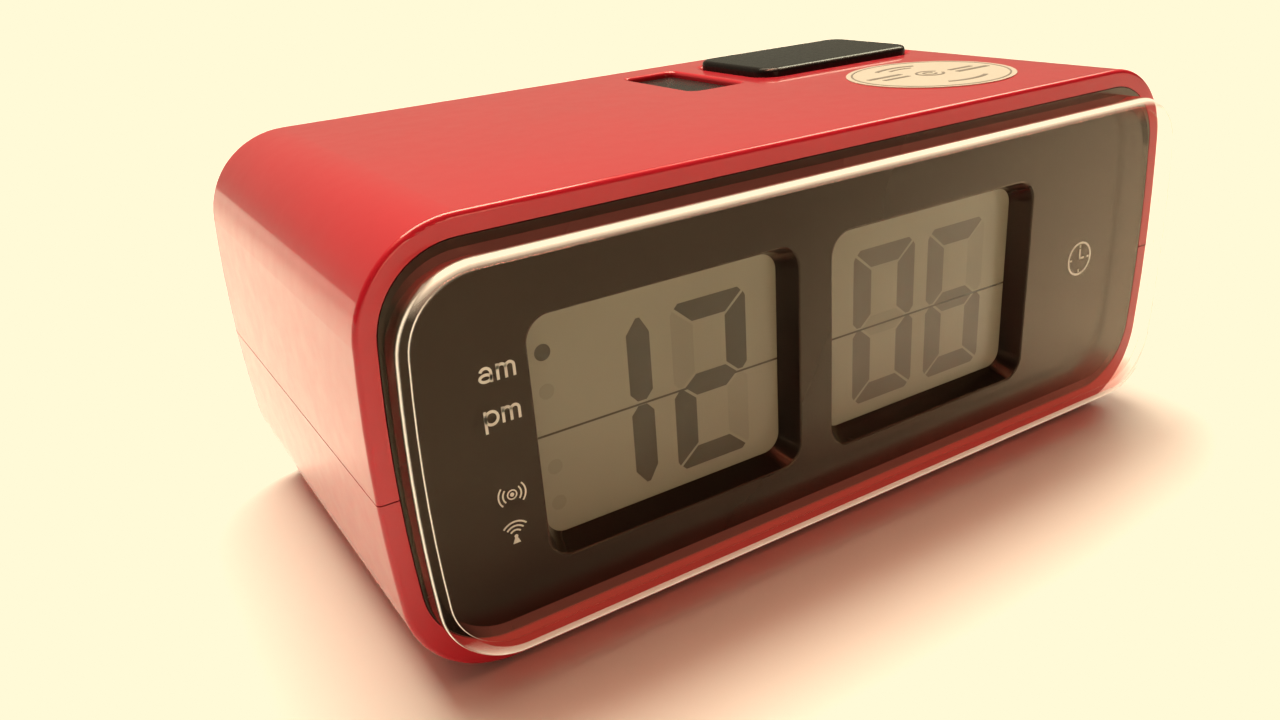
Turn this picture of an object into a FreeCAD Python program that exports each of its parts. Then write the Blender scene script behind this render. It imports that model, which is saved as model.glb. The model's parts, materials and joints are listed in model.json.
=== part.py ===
import FreeCAD, Part
import math
import os
import Sketcher

# A desk clock: a red two-part housing, a dark front plate with two display windows under a
# clear box-shaped cover, two liquid crystal displays, two keys on top, and a rear cover with
# three keys, a slide switch and a battery door.
#
# Every piece is drawn in one clock frame: x to the right as seen from the front, y backwards
# from the plane of the housing's front rim, z upwards from the housing's underside. Placements
# then move each piece so that the origin is on the table, under the middle of the whole clock.

DIMENSIONS = (
    # housing
    ("body_width", 165.0, "width of the housing at mid height"),
    ("body_tall", 69.7, "height of the housing"),
    ("body_depth", 86.0, "depth of the housing"),
    ("side_bow", 250.0, "radius of the slightly bowed sides"),
    ("body_corner", 16.0, "radius of the housing's long corners"),
    ("rim_round", 0.8, "rounding of the front rim's outer edge"),
    ("rear_round", 2.0, "rounding of the rear rim's outer edge"),
    ("wall", 2.5, "wall thickness"),
    ("seam_level", 32.6, "height of the joint between the two shells"),
    ("seam_gap", 0.2, "visible gap at that joint"),
    ("cavity_corner", 13.5, "corner radius of the cavity"),
    ("side_wall", 2.5, "thickness of a side wall at mid height"),
    ("groove_width", 160.2, "slot that holds the display frame, width"),
    ("groove_tall", 65.2, "slot that holds the display frame, height"),
    ("ring_width", 155.0, "opening of the ring behind the display frame, width"),
    ("ring_tall", 60.0, "opening of the ring behind the display frame, height"),
    ("ring_corner", 11.0, "opening of that ring, corner radius"),
    ("ring_thick", 2.0, "thickness of that ring"),
    ("frame_play", 0.2, "play of the display frame in its slot"),
    # columns and screws that hold the shells together
    ("column_x", 62.0, "columns, sideways"),
    ("column_front", 20.0, "front columns, depth"),
    ("column_rear", 44.0, "rear columns, depth"),
    ("column_size", 8.0, "columns, diameter"),
    ("column_sunk", 25.0, "depth of the screw recess in the lower columns"),
    ("case_head", 5.6, "case screws, head diameter"),
    ("case_head_tall", 2.0, "case screws, head height"),
    ("case_shank", 3.0, "case screws, shank diameter"),
    ("case_length", 16.0, "case screws, shank length"),
    ("screw_slack", 0.1, "diameter slack of a screw in its pilot hole"),
    ("hole_slack", 0.3, "diameter slack of a screw in its through hole"),
    ("head_slack", 0.8, "diameter slack of a screw head in its recess"),
    ("recess_across", 2.0, "driver recess of a screw, length of an arm"),
    ("recess_arm", 0.6, "driver recess of a screw, width of an arm"),
    # feet
    ("foot_x", 50.0, "feet, sideways"),
    ("foot_front", 14.0, "front feet, depth"),
    ("foot_rear", 72.0, "rear feet, depth"),
    ("foot_size", 10.0, "feet, diameter"),
    ("foot_proud", 1.0, "how far the feet stand out"),
    ("foot_sunk", 0.6, "how deep the feet are let in"),
    # front plate and its windows
    ("plate_width", 158.6, "front plate, width at mid height"),
    ("plate_low", 4.85, "front plate, lower edge"),
    ("plate_high", 66.4, "front plate, upper edge"),
    ("plate_corner", 12.5, "front plate, corner radius"),
    ("plate_thick", 2.0, "front plate, thickness"),
    ("plate_gap", 0.15, "gap between the front plate and the rim"),
    ("hour_x", -34.2, "hour window, centre sideways"),
    ("minute_x", 21.1, "minute window, centre sideways"),
    ("window_level", 33.55, "windows, centre height"),
    ("window_width", 48.4, "windows, width at the front"),
    ("window_tall", 39.1, "windows, height at the front"),
    ("window_corner", 4.0, "windows, corner radius at the front"),
    ("window_deep", 4.0, "windows, depth"),
    ("window_slope", 1.7, "how far the windows close in at the rear"),
    ("window_border", 1.6, "collars round the windows, thickness"),
    ("window_round", 0.4, "windows, rounding of their front edges"),
    ("plate_screw_x", 70.0, "plate screws, sideways"),
    ("plate_screw_low", 13.0, "lower plate screws, height"),
    ("plate_screw_high", 58.5, "upper plate screws, height"),
    ("plate_boss", 5.0, "plate screw bosses, diameter"),
    ("small_head", 4.0, "small screws, head diameter"),
    ("small_head_tall", 1.4, "small screws, head height"),
    ("small_shank", 2.0, "small screws, shank diameter"),
    # clear cover
    ("cover_width", 158.0, "clear cover, width at mid height"),
    ("cover_low", 5.0, "clear cover, lower edge"),
    ("cover_high", 65.0, "clear cover, upper edge"),
    ("cover_corner", 12.0, "clear cover, corner radius"),
    ("cover_proud", 6.8, "how far the cover stands out of the rim"),
    ("cover_wall", 1.8, "clear cover, thickness"),
    ("cover_round", 2.4, "clear cover, rounding of its front edge"),
    ("cover_inner_round", 0.8, "clear cover, rounding inside its front edge"),
    # display frame, displays and display board
    ("frame_width", 159.8, "display frame, width"),
    ("frame_tall", 64.8, "display frame, height"),
    ("frame_level", 35.0, "display frame, centre height"),
    ("frame_corner", 13.4, "display frame, corner radius"),
    ("frame_thick", 2.2, "display frame, thickness"),
    ("nest_wall", 1.8, "display nests, wall thickness above and below"),
    ("nest_bar", 4.6, "display nests, thickness of the bars left and right"),
    ("nest_deep", 8.0, "display nests, depth from the frame's front"),
    ("glass_width", 48.0, "display glass, width"),
    ("glass_tall", 39.0, "display glass, height"),
    ("glass_thick", 1.1, "display glass, thickness"),
    ("glass_slack", 0.4, "display glass, slack in its nest"),
    ("glass_gap", 0.05, "gap between the window collar and the glass"),
    ("ledge", 2.0, "contact ledge along the front glass"),
    ("reflector_thick", 0.2, "reflector film, thickness"),
    ("guide_width", 45.0, "light guide, width"),
    ("guide_thick", 5.4, "light guide, thickness"),
    ("guide_shift", 1.4, "light guide, sideways shift"),
    ("strip_length", 44.0, "contact strips, length"),
    ("strip_thick", 1.5, "contact strips, thickness"),
    ("led_wide", 2.0, "backlight diodes, width"),
    ("led_tall", 3.0, "backlight diodes, height"),
    ("led_deep", 3.4, "backlight diodes, depth"),
    ("led_spread", 16.0, "backlight diodes, spacing"),
    ("board_thick", 1.6, "circuit boards, thickness"),
    ("display_board_width", 112.0, "display board, width"),
    ("display_board_tall", 46.0, "display board, height"),
    ("display_screw_rise", 15.0, "display board screws, from the windows' centre height"),
    # keys on top
    ("key_mid", 62.75, "top keys, centre depth"),
    ("snooze_x", 44.2, "snooze key, centre sideways"),
    ("snooze_width", 41.4, "snooze key opening, width"),
    ("snooze_deep", 25.6, "snooze key opening, depth"),
    ("snooze_corner", 4.0, "snooze key opening, corner radius"),
    ("snooze_proud", 1.6, "how far the snooze key stands out"),
    ("snooze_round", 1.0, "snooze key, edge rounding"),
    ("snooze_post_x", 12.0, "snooze key posts, from its centre"),
    ("light_x", 11.3, "light key, centre sideways"),
    ("light_width", 12.6, "light key opening, width"),
    ("light_deep", 26.6, "light key opening, depth"),
    ("light_corner", 2.0, "light key opening, corner radius"),
    ("light_sunk", 1.2, "how far the light key lies below the surface"),
    ("light_round", 0.4, "light key, edge rounding"),
    ("key_gap", 0.2, "gap round a key"),
    ("key_flange", 1.0, "how far a key's flange reaches past its opening"),
    ("flange_thick", 1.6, "flange thickness"),
    ("flange_play", 0.2, "play above a flange"),
    ("key_post", 4.0, "key posts, diameter"),
    ("key_skin", 2.0, "snooze key, thickness of its top"),
    ("snooze_edge", 1.6, "rounding of the snooze key's opening"),
    ("light_edge", 0.8, "rounding of the light key's opening"),
    # main board
    ("main_board_left", -3.0, "main board, left edge"),
    ("main_board_front", 48.4, "main board, front edge"),
    ("main_board_width", 74.0, "main board, width"),
    ("main_board_deep", 30.0, "main board, depth"),
    ("main_board_level", 57.6, "main board, underside"),
    ("board_post", 4.4, "board posts, diameter"),
    ("board_post_inset", 3.2, "board posts, from the board's side edges"),
    ("board_post_step", 3.0, "board posts, from the board's front and rear edges"),
    ("dome_base", 7.0, "rubber domes, diameter at the base"),
    ("dome_top", 4.6, "rubber domes, diameter at the top"),
    ("dome_tall", 3.6, "rubber domes, height"),
    ("dome_gap", 0.1, "gap between a dome and its key"),
    ("board_screw_length", 5.0, "board screws, shank length"),
    # rear cover, its keys and switch
    ("cover_inset", 2.0, "how deep the rear cover lies in the housing"),
    ("rear_thick", 2.2, "rear cover, thickness"),
    ("rear_gap", 0.2, "gap round the rear cover"),
    ("block_inner", 70.0, "rear screw blocks, inner side"),
    ("block_tall", 8.0, "rear screw blocks, height"),
    ("block_deep", 16.0, "rear screw blocks, depth"),
    ("rear_screw_x", 74.0, "rear screws, sideways"),
    ("rear_screw_low", 18.0, "lower rear screws, height"),
    ("rear_screw_high", 51.0, "upper rear screws, height"),
    ("rear_screw_length", 10.0, "rear screws, shank length"),
    ("rear_screw_sunk", 1.0, "rear screws, recess depth"),
    ("rear_key_x", 40.0, "rear keys, middle key sideways"),
    ("rear_key_pitch", 16.0, "rear keys, spacing"),
    ("rear_key_level", 46.0, "rear keys, height"),
    ("rear_key_size", 9.0, "rear keys, diameter"),
    ("rear_key_gap", 0.2, "rear keys, gap round them"),
    ("rear_key_proud", 1.2, "how far the rear keys stand out of the rear cover"),
    ("rear_key_round", 0.6, "rear keys, edge rounding"),
    ("rear_flange", 11.6, "rear keys, flange diameter"),
    ("rear_board_width", 58.0, "rear board, width"),
    ("rear_board_tall", 21.0, "rear board, height"),
    ("rear_board_left", 11.0, "rear board, left edge"),
    ("rear_board_low", 33.0, "rear board, lower edge"),
    ("rear_board_back", 7.8, "from the rear cover's inner face to the rear board"),
    ("rear_dome_tall", 4.5, "rear rubber domes, height"),
    ("switch_level", 37.8, "slide switch, height"),
    ("switch_width", 12.0, "slide switch, width"),
    ("switch_tall", 6.0, "slide switch, height of its body"),
    ("switch_deep", 5.0, "slide switch, depth of its body"),
    ("switch_slot_deep", 3.0, "slide switch, depth of its slot"),
    ("switch_travel", 4.0, "slide switch, travel"),
    ("switch_stem", 2.6, "slide switch knob, stem width"),
    ("switch_stem_tall", 1.8, "slide switch knob, stem height"),
    ("knob_width", 3.6, "slide switch knob, width"),
    ("knob_tall", 2.8, "slide switch knob, height"),
    ("knob_proud", 1.2, "how far the knob stands out of the rear cover"),
    ("knob_edge", 0.4, "slide switch knob, edge rounding"),
    ("switch_slack", 0.4, "slack round the knob"),
    # sounder
    ("sounder_x", 40.0, "sounder, sideways"),
    ("sounder_level", 19.5, "sounder, height"),
    ("sounder_size", 23.0, "sounder, diameter"),
    ("sounder_deep", 7.0, "sounder, depth"),
    ("sounder_wall", 1.2, "sounder, wall thickness"),
    ("disc_thick", 0.4, "sounder disc, thickness"),
    ("slot_length", 15.0, "sound slots, length"),
    ("slot_width", 1.4, "sound slots, width"),
    ("slot_pitch", 3.4, "sound slots, spacing"),
    # battery box, cells and door
    ("box_x", -35.25, "battery box, centre sideways"),
    ("box_level", 28.0, "battery box, centre height"),
    ("box_inner_width", 58.5, "battery box, inner width"),
    ("box_inner_tall", 34.0, "battery box, inner height"),
    ("box_wall", 1.5, "battery box, wall thickness"),
    ("box_deep", 17.3, "battery box, depth"),
    ("door_width", 56.5, "battery door opening, width"),
    ("door_tall", 33.0, "battery door opening, height"),
    ("door_corner", 2.0, "battery door opening, corner radius"),
    ("door_gap", 0.2, "gap round the battery door"),
    ("door_thick", 2.0, "battery door, thickness"),
    ("hook_x", 16.0, "door hooks, from the door's middle"),
    ("hook_width", 8.0, "door hooks, width"),
    ("hook_thick", 1.5, "door hooks, thickness"),
    ("hook_reach", 2.5, "door hooks, reach behind the door"),
    ("hook_drop", 2.8, "door hooks, reach below the door"),
    ("hook_room", 6.0, "notch for a hook in the battery box, depth"),
    ("grip_width", 14.0, "finger grip of the door, width"),
    ("grip_tall", 1.2, "finger grip ridges, height"),
    ("grip_pitch", 2.4, "finger grip ridges, spacing"),
    ("grip_proud", 0.6, "finger grip ridges, how far they stand out"),
    ("cell_size", 14.2, "battery cells, diameter"),
    ("cell_length", 50.4, "battery cells, length over the button"),
    ("cell_button", 5.4, "battery cells, button diameter"),
    ("cell_button_long", 1.0, "battery cells, button length"),
    ("cell_pitch", 15.2, "battery cells, spacing"),
    ("cell_back", 9.0, "battery cells, axis from the box's rim"),
    ("contact_thick", 0.4, "battery contacts, thickness"),
    ("contact_wide", 9.0, "battery contacts, width"),
    ("tail_wide", 3.0, "solder tails of the contacts, width"),
    ("tail_slack", 0.4, "slack of the solder tails in the battery box"),
    ("low_tail", 7.2, "solder tail of the lower contact, length"),
    ("high_tail", 4.4, "solder tail of the upper contact, length"),
    ("leaf_reach", 8.6, "leaf springs, reach of the bend's corner"),
    ("leaf_rise", 4.0, "leaf springs, half height"),
    ("leaf_stand", 0.5, "leaf springs, distance of their feet from the plate"),
    ("leaf_wide", 5.0, "leaf springs, width"),
    ("leaf_thick", 0.4, "leaf springs, thickness"),
    ("leaf_bend", 1.5, "leaf springs, bend radius"),
    # antenna
    ("rod_size", 8.0, "ferrite rod, diameter"),
    ("rod_length", 60.0, "ferrite rod, length"),
    ("rod_x", -25.0, "ferrite rod, middle sideways"),
    ("rod_deep", 34.0, "ferrite rod, depth"),
    ("rod_level", 55.0, "ferrite rod, height"),
    ("coil_size", 11.6, "antenna coil, diameter"),
    ("coil_length", 24.0, "antenna coil, length"),
    ("coil_slack", 0.1, "slack of the coil on the rod"),
    ("holder_spread", 46.0, "antenna holder, spacing of its saddles"),
    ("holder_arm", 5.0, "antenna holder, thickness of a saddle"),
    ("holder_width", 12.0, "antenna holder, width"),
    ("holder_thick", 2.0, "antenna holder, thickness of its bar"),
    # parts on the boards
    ("chip_size", 12.0, "clock chip, side"),
    ("chip_thick", 1.6, "clock chip, thickness"),
    ("receiver_size", 8.0, "receiver chip, side"),
    ("crystal_size", 3.0, "quartz crystal, diameter"),
    ("crystal_length", 8.0, "quartz crystal, length"),
    ("capacitor_size", 6.0, "capacitors, diameter"),
    ("capacitor_tall", 8.0, "capacitors, height"),
    ("socket_wide", 22.0, "ribbon sockets, width"),
    ("socket_deep", 4.0, "ribbon sockets, depth"),
    ("socket_tall", 4.0, "ribbon sockets, height"),
    ("ribbon_x", 31.0, "ribbon cable, middle sideways"),
    ("ribbon_wide", 20.0, "ribbon cable, width"),
    ("ribbon_thick", 0.4, "ribbon cable, thickness"),
    ("ribbon_bend", 6.0, "ribbon cable, bend radius"),
    ("lead_size", 1.2, "battery leads, diameter"),
    ("lead_bend", 5.0, "battery leads, bend radius"),
    ("thin_lead", 0.8, "antenna and sounder leads, diameter"),
    ("thin_bend", 1.6, "antenna and sounder leads, bend radius"),
    ("link_wide", 14.0, "ribbon between main and rear board, width"),
    ("link_x", 32.0, "ribbon between main and rear board, middle sideways"),
    ("link_bend", 4.0, "ribbon between main and rear board, bend radius"),
    # round label on top
    ("label_x", 44.3, "round label, sideways"),
    ("label_deep", 25.4, "round label, depth"),
    ("label_size", 32.0, "round label, diameter"),
    ("label_thick", 0.15, "round label, thickness"),
)

TOP = "XY_Plane"
FRONT = "XZ_Plane"
SIDE = "YZ_Plane"

# Levels and depths that several pieces share, in terms of the driving dimensions.
RIM_Y = "(dims.cover_proud - dims.body_depth) / 2"
BODY_MID = "dims.body_tall / 2"
PLATE_MID = "(dims.plate_low + dims.plate_high) / 2"
PLATE_TALL = "(dims.plate_high - dims.plate_low)"
COVER_MID = "(dims.cover_low + dims.cover_high) / 2"
COVER_TALL = "(dims.cover_high - dims.cover_low)"
GROOVE_END = "(dims.window_deep + dims.frame_thick + dims.frame_play)"
RING_END = f"({GROOVE_END} + dims.ring_thick)"
CAVITY_WIDTH = "(dims.body_width - 2 * dims.side_wall)"
CAVITY_TALL = "(dims.body_tall - 2 * dims.wall)"
CEILING = "(dims.body_tall - dims.wall)"
REAR_FACE = "(dims.body_depth - dims.cover_inset)"
REAR_INNER = f"({REAR_FACE} - dims.rear_thick)"
FRAME_REAR = "(dims.window_deep + dims.nest_deep)"
GLASS_FRONT = "(dims.window_deep + dims.glass_gap)"
BOARD_TOP = "(dims.main_board_level + dims.board_thick)"
POST_END = f"({BOARD_TOP} + dims.dome_tall + dims.dome_gap)"
FLANGE_TOP = f"({CEILING} - dims.flange_play)"
FLANGE_LOW = f"({FLANGE_TOP} - dims.flange_thick)"
REAR_BOARD_FACE = f"({REAR_INNER} - dims.rear_board_back)"
CELL_DEPTH = f"({REAR_INNER} - dims.cell_back + dims.box_wall / 2)"
DOOR_LOW = "(dims.box_level - dims.door_tall / 2)"

doc = FreeCAD.newDocument("desk_clock")
sheet = doc.addObject("Spreadsheet::Sheet", "dims")
for row, (alias, size, note) in enumerate(DIMENSIONS, start=1):
    sheet.set(f"A{row}", alias)
    sheet.set(f"B{row}", str(size))
    sheet.set(f"C{row}", note)
    sheet.setAlias(f"B{row}", alias)
doc.recompute()

pieces = []


def number(expression):
    """The present value of an expression in the driving dimensions."""
    return float(sheet.evalExpression(expression))


def settle(piece, label):
    """Name a finished piece, move it into the clock's own frame and keep it for the export."""
    piece.Label = label
    piece.setExpression("Placement.Base.y", RIM_Y)
    piece.setExpression("Placement.Base.z", "dims.foot_proud")
    pieces.append(piece)
    return piece


def new_body(label):
    """An empty body; groups of equal pieces may hold several separate solids."""
    body = doc.addObject("PartDesign::Body", label)
    body.AllowCompound = True
    return settle(body, label)


def sketch_on(body, plane, x="0", y="0", z="0"):
    """A sketch on one of the body's origin planes, its own origin moved to x, y, z."""
    sketch = body.newObject("Sketcher::SketchObject", "outline")
    support = [item for item in body.Origin.OriginFeatures if item.Role == plane][0]
    sketch.AttachmentSupport = (support, [""])
    sketch.MapMode = "FlatFace"
    offsets = {TOP: (x, y, z), FRONT: (x, z, f"-({y})"), SIDE: (y, z, x)}[plane]
    for axis, offset in zip("xyz", offsets):
        sketch.setExpression(f"AttachmentOffset.Base.{axis}", offset)
    return sketch


def constrain(sketch, constraint, expression=None):
    """Add one constraint and drive it by an expression where it has a size."""
    index = sketch.addConstraint(constraint)
    if expression is not None:
        sketch.setExpression(f"Constraints[{index}]", expression)


def line(sketch, start, end):
    segment = Part.LineSegment(FreeCAD.Vector(*start, 0), FreeCAD.Vector(*end, 0))
    return sketch.addGeometry(segment)


def arc(sketch, centre, radius, start_degrees, end_degrees):
    circle = Part.Circle(FreeCAD.Vector(*centre, 0), FreeCAD.Vector(0, 0, 1), radius)
    span = Part.ArcOfCircle(circle, math.radians(start_degrees), math.radians(end_degrees))
    return sketch.addGeometry(span)


def rectangle(sketch, width, tall):
    """A rectangle centred on the sketch's origin."""
    half = number(width) / 2
    rise = number(tall) / 2
    corners = ((-half, -rise), (half, -rise), (half, rise), (-half, rise))
    for index in range(4):
        line(sketch, corners[index], corners[(index + 1) % 4])
    for index in range(4):
        constrain(sketch, Sketcher.Constraint("Coincident", index, 2, (index + 1) % 4, 1))
    for index, kind in enumerate(("Horizontal", "Vertical", "Horizontal", "Vertical")):
        constrain(sketch, Sketcher.Constraint(kind, index))
    constrain(sketch, Sketcher.Constraint("Symmetric", 0, 1, 2, 1, -1, 1))
    constrain(sketch, Sketcher.Constraint("DistanceX", 0, 1, 0, 2, 2 * half), width)
    constrain(sketch, Sketcher.Constraint("DistanceY", 1, 1, 1, 2, 2 * rise), tall)
    return sketch


def rounded(sketch, width, tall, corner):
    """A rectangle with round corners, centred on the sketch's origin."""
    half = number(width) / 2
    rise = number(tall) / 2
    radius = number(corner)
    inner = half - radius
    level = rise - radius
    line(sketch, (-inner, -rise), (inner, -rise))
    arc(sketch, (inner, -level), radius, -90, 0)
    line(sketch, (half, -level), (half, level))
    arc(sketch, (inner, level), radius, 0, 90)
    line(sketch, (inner, rise), (-inner, rise))
    arc(sketch, (-inner, level), radius, 90, 180)
    line(sketch, (-half, level), (-half, -level))
    arc(sketch, (-inner, -level), radius, 180, 270)
    for index in range(8):
        constrain(sketch, Sketcher.Constraint("Tangent", index, 2, (index + 1) % 8, 1))
    for index, kind in ((0, "Horizontal"), (2, "Vertical"), (4, "Horizontal"), (6, "Vertical")):
        constrain(sketch, Sketcher.Constraint(kind, index))
    for index in (3, 5, 7):
        constrain(sketch, Sketcher.Constraint("Equal", 1, index))
    constrain(sketch, Sketcher.Constraint("Symmetric", 1, 3, 5, 3, -1, 1))
    constrain(sketch, Sketcher.Constraint("Radius", 1, radius), corner)
    constrain(sketch, Sketcher.Constraint("DistanceX", 6, 1, 2, 2, 2 * half), width)
    constrain(sketch, Sketcher.Constraint("DistanceY", 0, 1, 4, 2, 2 * rise), tall)
    return sketch


def bowed(sketch, width, tall, corner):
    """Like rounded, but with sides that bow outwards: as wide as width at mid height."""
    rise = number(tall) / 2
    radius = number(corner)
    bow = number("dims.side_bow")
    shift = bow - number(width) / 2
    level = rise - radius
    inner = math.sqrt((bow - radius) ** 2 - level ** 2) - shift
    swing = math.degrees(math.asin(level / (bow - radius)))
    line(sketch, (-inner, -rise), (inner, -rise))
    arc(sketch, (inner, -level), radius, -90, -swing)
    arc(sketch, (-shift, 0), bow, -swing, swing)
    arc(sketch, (inner, level), radius, swing, 90)
    line(sketch, (inner, rise), (-inner, rise))
    arc(sketch, (-inner, level), radius, 90, 180 - swing)
    arc(sketch, (shift, 0), bow, 180 - swing, 180 + swing)
    arc(sketch, (-inner, -level), radius, 180 + swing, 270)
    for index in range(8):
        constrain(sketch, Sketcher.Constraint("Tangent", index, 2, (index + 1) % 8, 1))
    for index in (0, 4):
        constrain(sketch, Sketcher.Constraint("Horizontal", index))
    for index in (3, 5, 7):
        constrain(sketch, Sketcher.Constraint("Equal", 1, index))
    constrain(sketch, Sketcher.Constraint("Equal", 2, 6))
    constrain(sketch, Sketcher.Constraint("Symmetric", 2, 3, 6, 3, -1, 1))
    constrain(sketch, Sketcher.Constraint("PointOnObject", 2, 3, -1))
    constrain(sketch, Sketcher.Constraint("Radius", 1, radius), corner)
    constrain(sketch, Sketcher.Constraint("Radius", 2, bow), "dims.side_bow")
    constrain(sketch, Sketcher.Constraint("DistanceX", 2, 3, 6, 3, 2 * shift),
              f"2 * dims.side_bow - ({width})")
    constrain(sketch, Sketcher.Constraint("DistanceY", 0, 1, 4, 2, 2 * rise), tall)
    constrain(sketch, Sketcher.Constraint("DistanceY", -1, 1, 4, 2, rise), f"({tall}) / 2")
    return sketch


def disc(sketch, diameter):
    """A circle centred on the sketch's origin."""
    circle = Part.Circle(FreeCAD.Vector(0, 0, 0), FreeCAD.Vector(0, 0, 1), number(diameter) / 2)
    sketch.addGeometry(circle)
    constrain(sketch, Sketcher.Constraint("Coincident", 0, 3, -1, 1))
    constrain(sketch, Sketcher.Constraint("Diameter", 0, number(diameter)), diameter)
    return sketch


def extrude(body, sketch, length, towards, cut=False):
    """Pad or pocket a sketch towards the plus or minus side of the axis it is square to."""
    before = 0.0 if body.Tip is None else body.Tip.Shape.Volume
    kind = "Pocket" if cut else "Pad"
    feature = body.newObject(f"PartDesign::{kind}", kind.lower())
    feature.Profile = sketch
    feature.setExpression("Length", length)
    plane_faces_plus = sketch.AttachmentSupport[0][0].Role != FRONT
    feature.Reversed = (towards == "+") != (plane_faces_plus != cut)
    doc.recompute()
    after = feature.Shape.Volume
    if (after < before) != cut:
        raise ValueError(f"{body.Label}: a {kind.lower()} had no effect")
    return feature


def pocket(body, sketch, length, towards):
    return extrude(body, sketch, length, towards, cut=True)


def round_edges(body, radius, picks):
    """Round the edges of the body's last feature that the test picks."""
    base = body.Tip
    names = [f"Edge{i}" for i, edge in enumerate(base.Shape.Edges, start=1) if picks(edge)]
    fillet = body.newObject("PartDesign::Fillet", "rounding")
    fillet.Base = (base, names)
    fillet.setExpression("Radius", radius)
    doc.recompute()
    return fillet


def lies_at(axis, value, within=None):
    """Picks edges that lie wholly in one plane, and where a box is given, inside it."""
    def picks(edge):
        box = edge.BoundBox
        low = getattr(box, f"{axis}Min")
        high = getattr(box, f"{axis}Max")
        flat = abs(low - value) < 1e-4 and abs(high - value) < 1e-4
        if within is None or not flat:
            return flat
        left, right, near, far = within
        return left < box.XMin and box.XMax < right and near < box.YMin and box.YMax < far
    return picks


def block(label, width, deep, tall, x, y, z):
    """A plain block, given by its sizes and its lowest corner."""
    solid = doc.addObject("Part::Box", label)
    for prop, size in (("Length", width), ("Width", deep), ("Height", tall)):
        solid.setExpression(prop, size)
    for axis, place in zip("xyz", (x, y, z)):
        solid.setExpression(f"Placement.Base.{axis}", place)
    return solid


def rod(label, diameter, length, x, y, z, axis):
    """A round bar from x, y, z along a positive axis."""
    solid = doc.addObject("Part::Cylinder", label)
    solid.setExpression("Radius", f"({diameter}) / 2")
    solid.setExpression("Height", length)
    turns = {"x": ((0, 1, 0), 90), "y": ((1, 0, 0), -90), "z": ((0, 0, 1), 0)}
    direction, angle = turns[axis]
    solid.Placement.Rotation = FreeCAD.Rotation(FreeCAD.Vector(*direction), angle)
    for name, place in zip("xyz", (x, y, z)):
        solid.setExpression(f"Placement.Base.{name}", place)
    return solid


def cut(label, base, tool):
    result = doc.addObject("Part::Cut", label)
    result.Base = base
    result.Tool = tool
    return result


def fuse(label, shapes):
    result = doc.addObject("Part::MultiFuse", label)
    result.Shapes = shapes
    return result


def group(label, shapes):
    """Several separate solids of one kind, kept in one piece."""
    result = doc.addObject("Part::Compound", label)
    result.Links = shapes
    return settle(result, label)


# ---------------------------------------------------------------- housing

COLUMNS = [(f"{side} * dims.column_x", f"dims.column_{row}")
           for side in (-1, 1) for row in ("front", "rear")]
FEET = [(f"{side} * dims.foot_x", f"dims.foot_{row}")
        for side in (-1, 1) for row in ("front", "rear")]
BOARD_POSTS = [(x, y) for x in ("dims.main_board_left + dims.board_post_inset",
                                "dims.main_board_left + dims.main_board_width"
                                " - dims.board_post_inset")
               for y in ("dims.main_board_front + dims.board_post_step",
                         "dims.main_board_front + dims.main_board_deep - dims.board_post_step")]
SIDES = (-1, 1)
KEY_OPENINGS = (("snooze", "dims.snooze_x"), ("light", "dims.light_x"))


def hollow_case(label):
    """The whole housing before it is parted: a bowed tube with the front plate's seat in it."""
    body = new_body(label)
    depth = number("dims.body_depth")
    outer = bowed(sketch_on(body, FRONT, z=BODY_MID), "dims.body_width", "dims.body_tall",
                  "dims.body_corner")
    extrude(body, outer, "dims.body_depth", "+")
    round_edges(body, "dims.rim_round", lies_at("Y", 0))
    round_edges(body, "dims.rear_round", lies_at("Y", depth))

    cavity = rounded(sketch_on(body, FRONT, y="dims.body_depth", z=BODY_MID),
                     CAVITY_WIDTH, CAVITY_TALL, "dims.cavity_corner")
    pocket(body, cavity, f"dims.body_depth - {RING_END}", "-")
    ring = rounded(sketch_on(body, FRONT, y=RING_END, z="dims.frame_level"),
                   "dims.ring_width", "dims.ring_tall", "dims.ring_corner")
    pocket(body, ring, "dims.ring_thick", "-")
    groove = rounded(sketch_on(body, FRONT, y=GROOVE_END, z="dims.frame_level"),
                     "dims.groove_width", "dims.groove_tall", "dims.cavity_corner")
    pocket(body, groove, f"{GROOVE_END} - dims.window_deep", "-")
    seat = bowed(sketch_on(body, FRONT, y="dims.window_deep", z=PLATE_MID),
                 "dims.plate_width + 2 * dims.plate_gap", f"{PLATE_TALL} + 2 * dims.plate_gap",
                 "dims.plate_corner + dims.plate_gap")
    pocket(body, seat, "dims.window_deep", "-")
    return body


def half_case(label, keep_upper):
    """One shell: the housing with its other half cut away at the joint."""
    body = hollow_case(label)
    half_gap = "dims.seam_gap / 2"
    level = f"dims.seam_level {'+' if keep_upper else '-'} {half_gap}"
    waste = rectangle(sketch_on(body, TOP, y="dims.body_depth / 2", z=level),
                      "dims.body_width + 2 * dims.wall", "dims.body_depth + 2 * dims.wall")
    pocket(body, waste, "dims.body_tall", "-" if keep_upper else "+")
    return body


def add_screw_blocks(body, level):
    """A block on each side wall, into which the rear cover is screwed."""
    reach = f"({CAVITY_WIDTH} / 2 + dims.side_wall / 2 - dims.block_inner)"
    for side in SIDES:
        centre = f"{side} * (dims.block_inner + {reach} / 2)"
        shape = rectangle(sketch_on(body, FRONT, x=centre, y=REAR_INNER, z=level),
                          reach, "dims.block_tall")
        extrude(body, shape, "dims.block_deep", "-")
        pilot = disc(sketch_on(body, FRONT, x=f"{side} * dims.rear_screw_x", y=REAR_INNER, z=level),
                     "dims.case_shank + dims.screw_slack")
        pocket(body, pilot, "dims.rear_screw_length + 1", "-")


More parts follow.
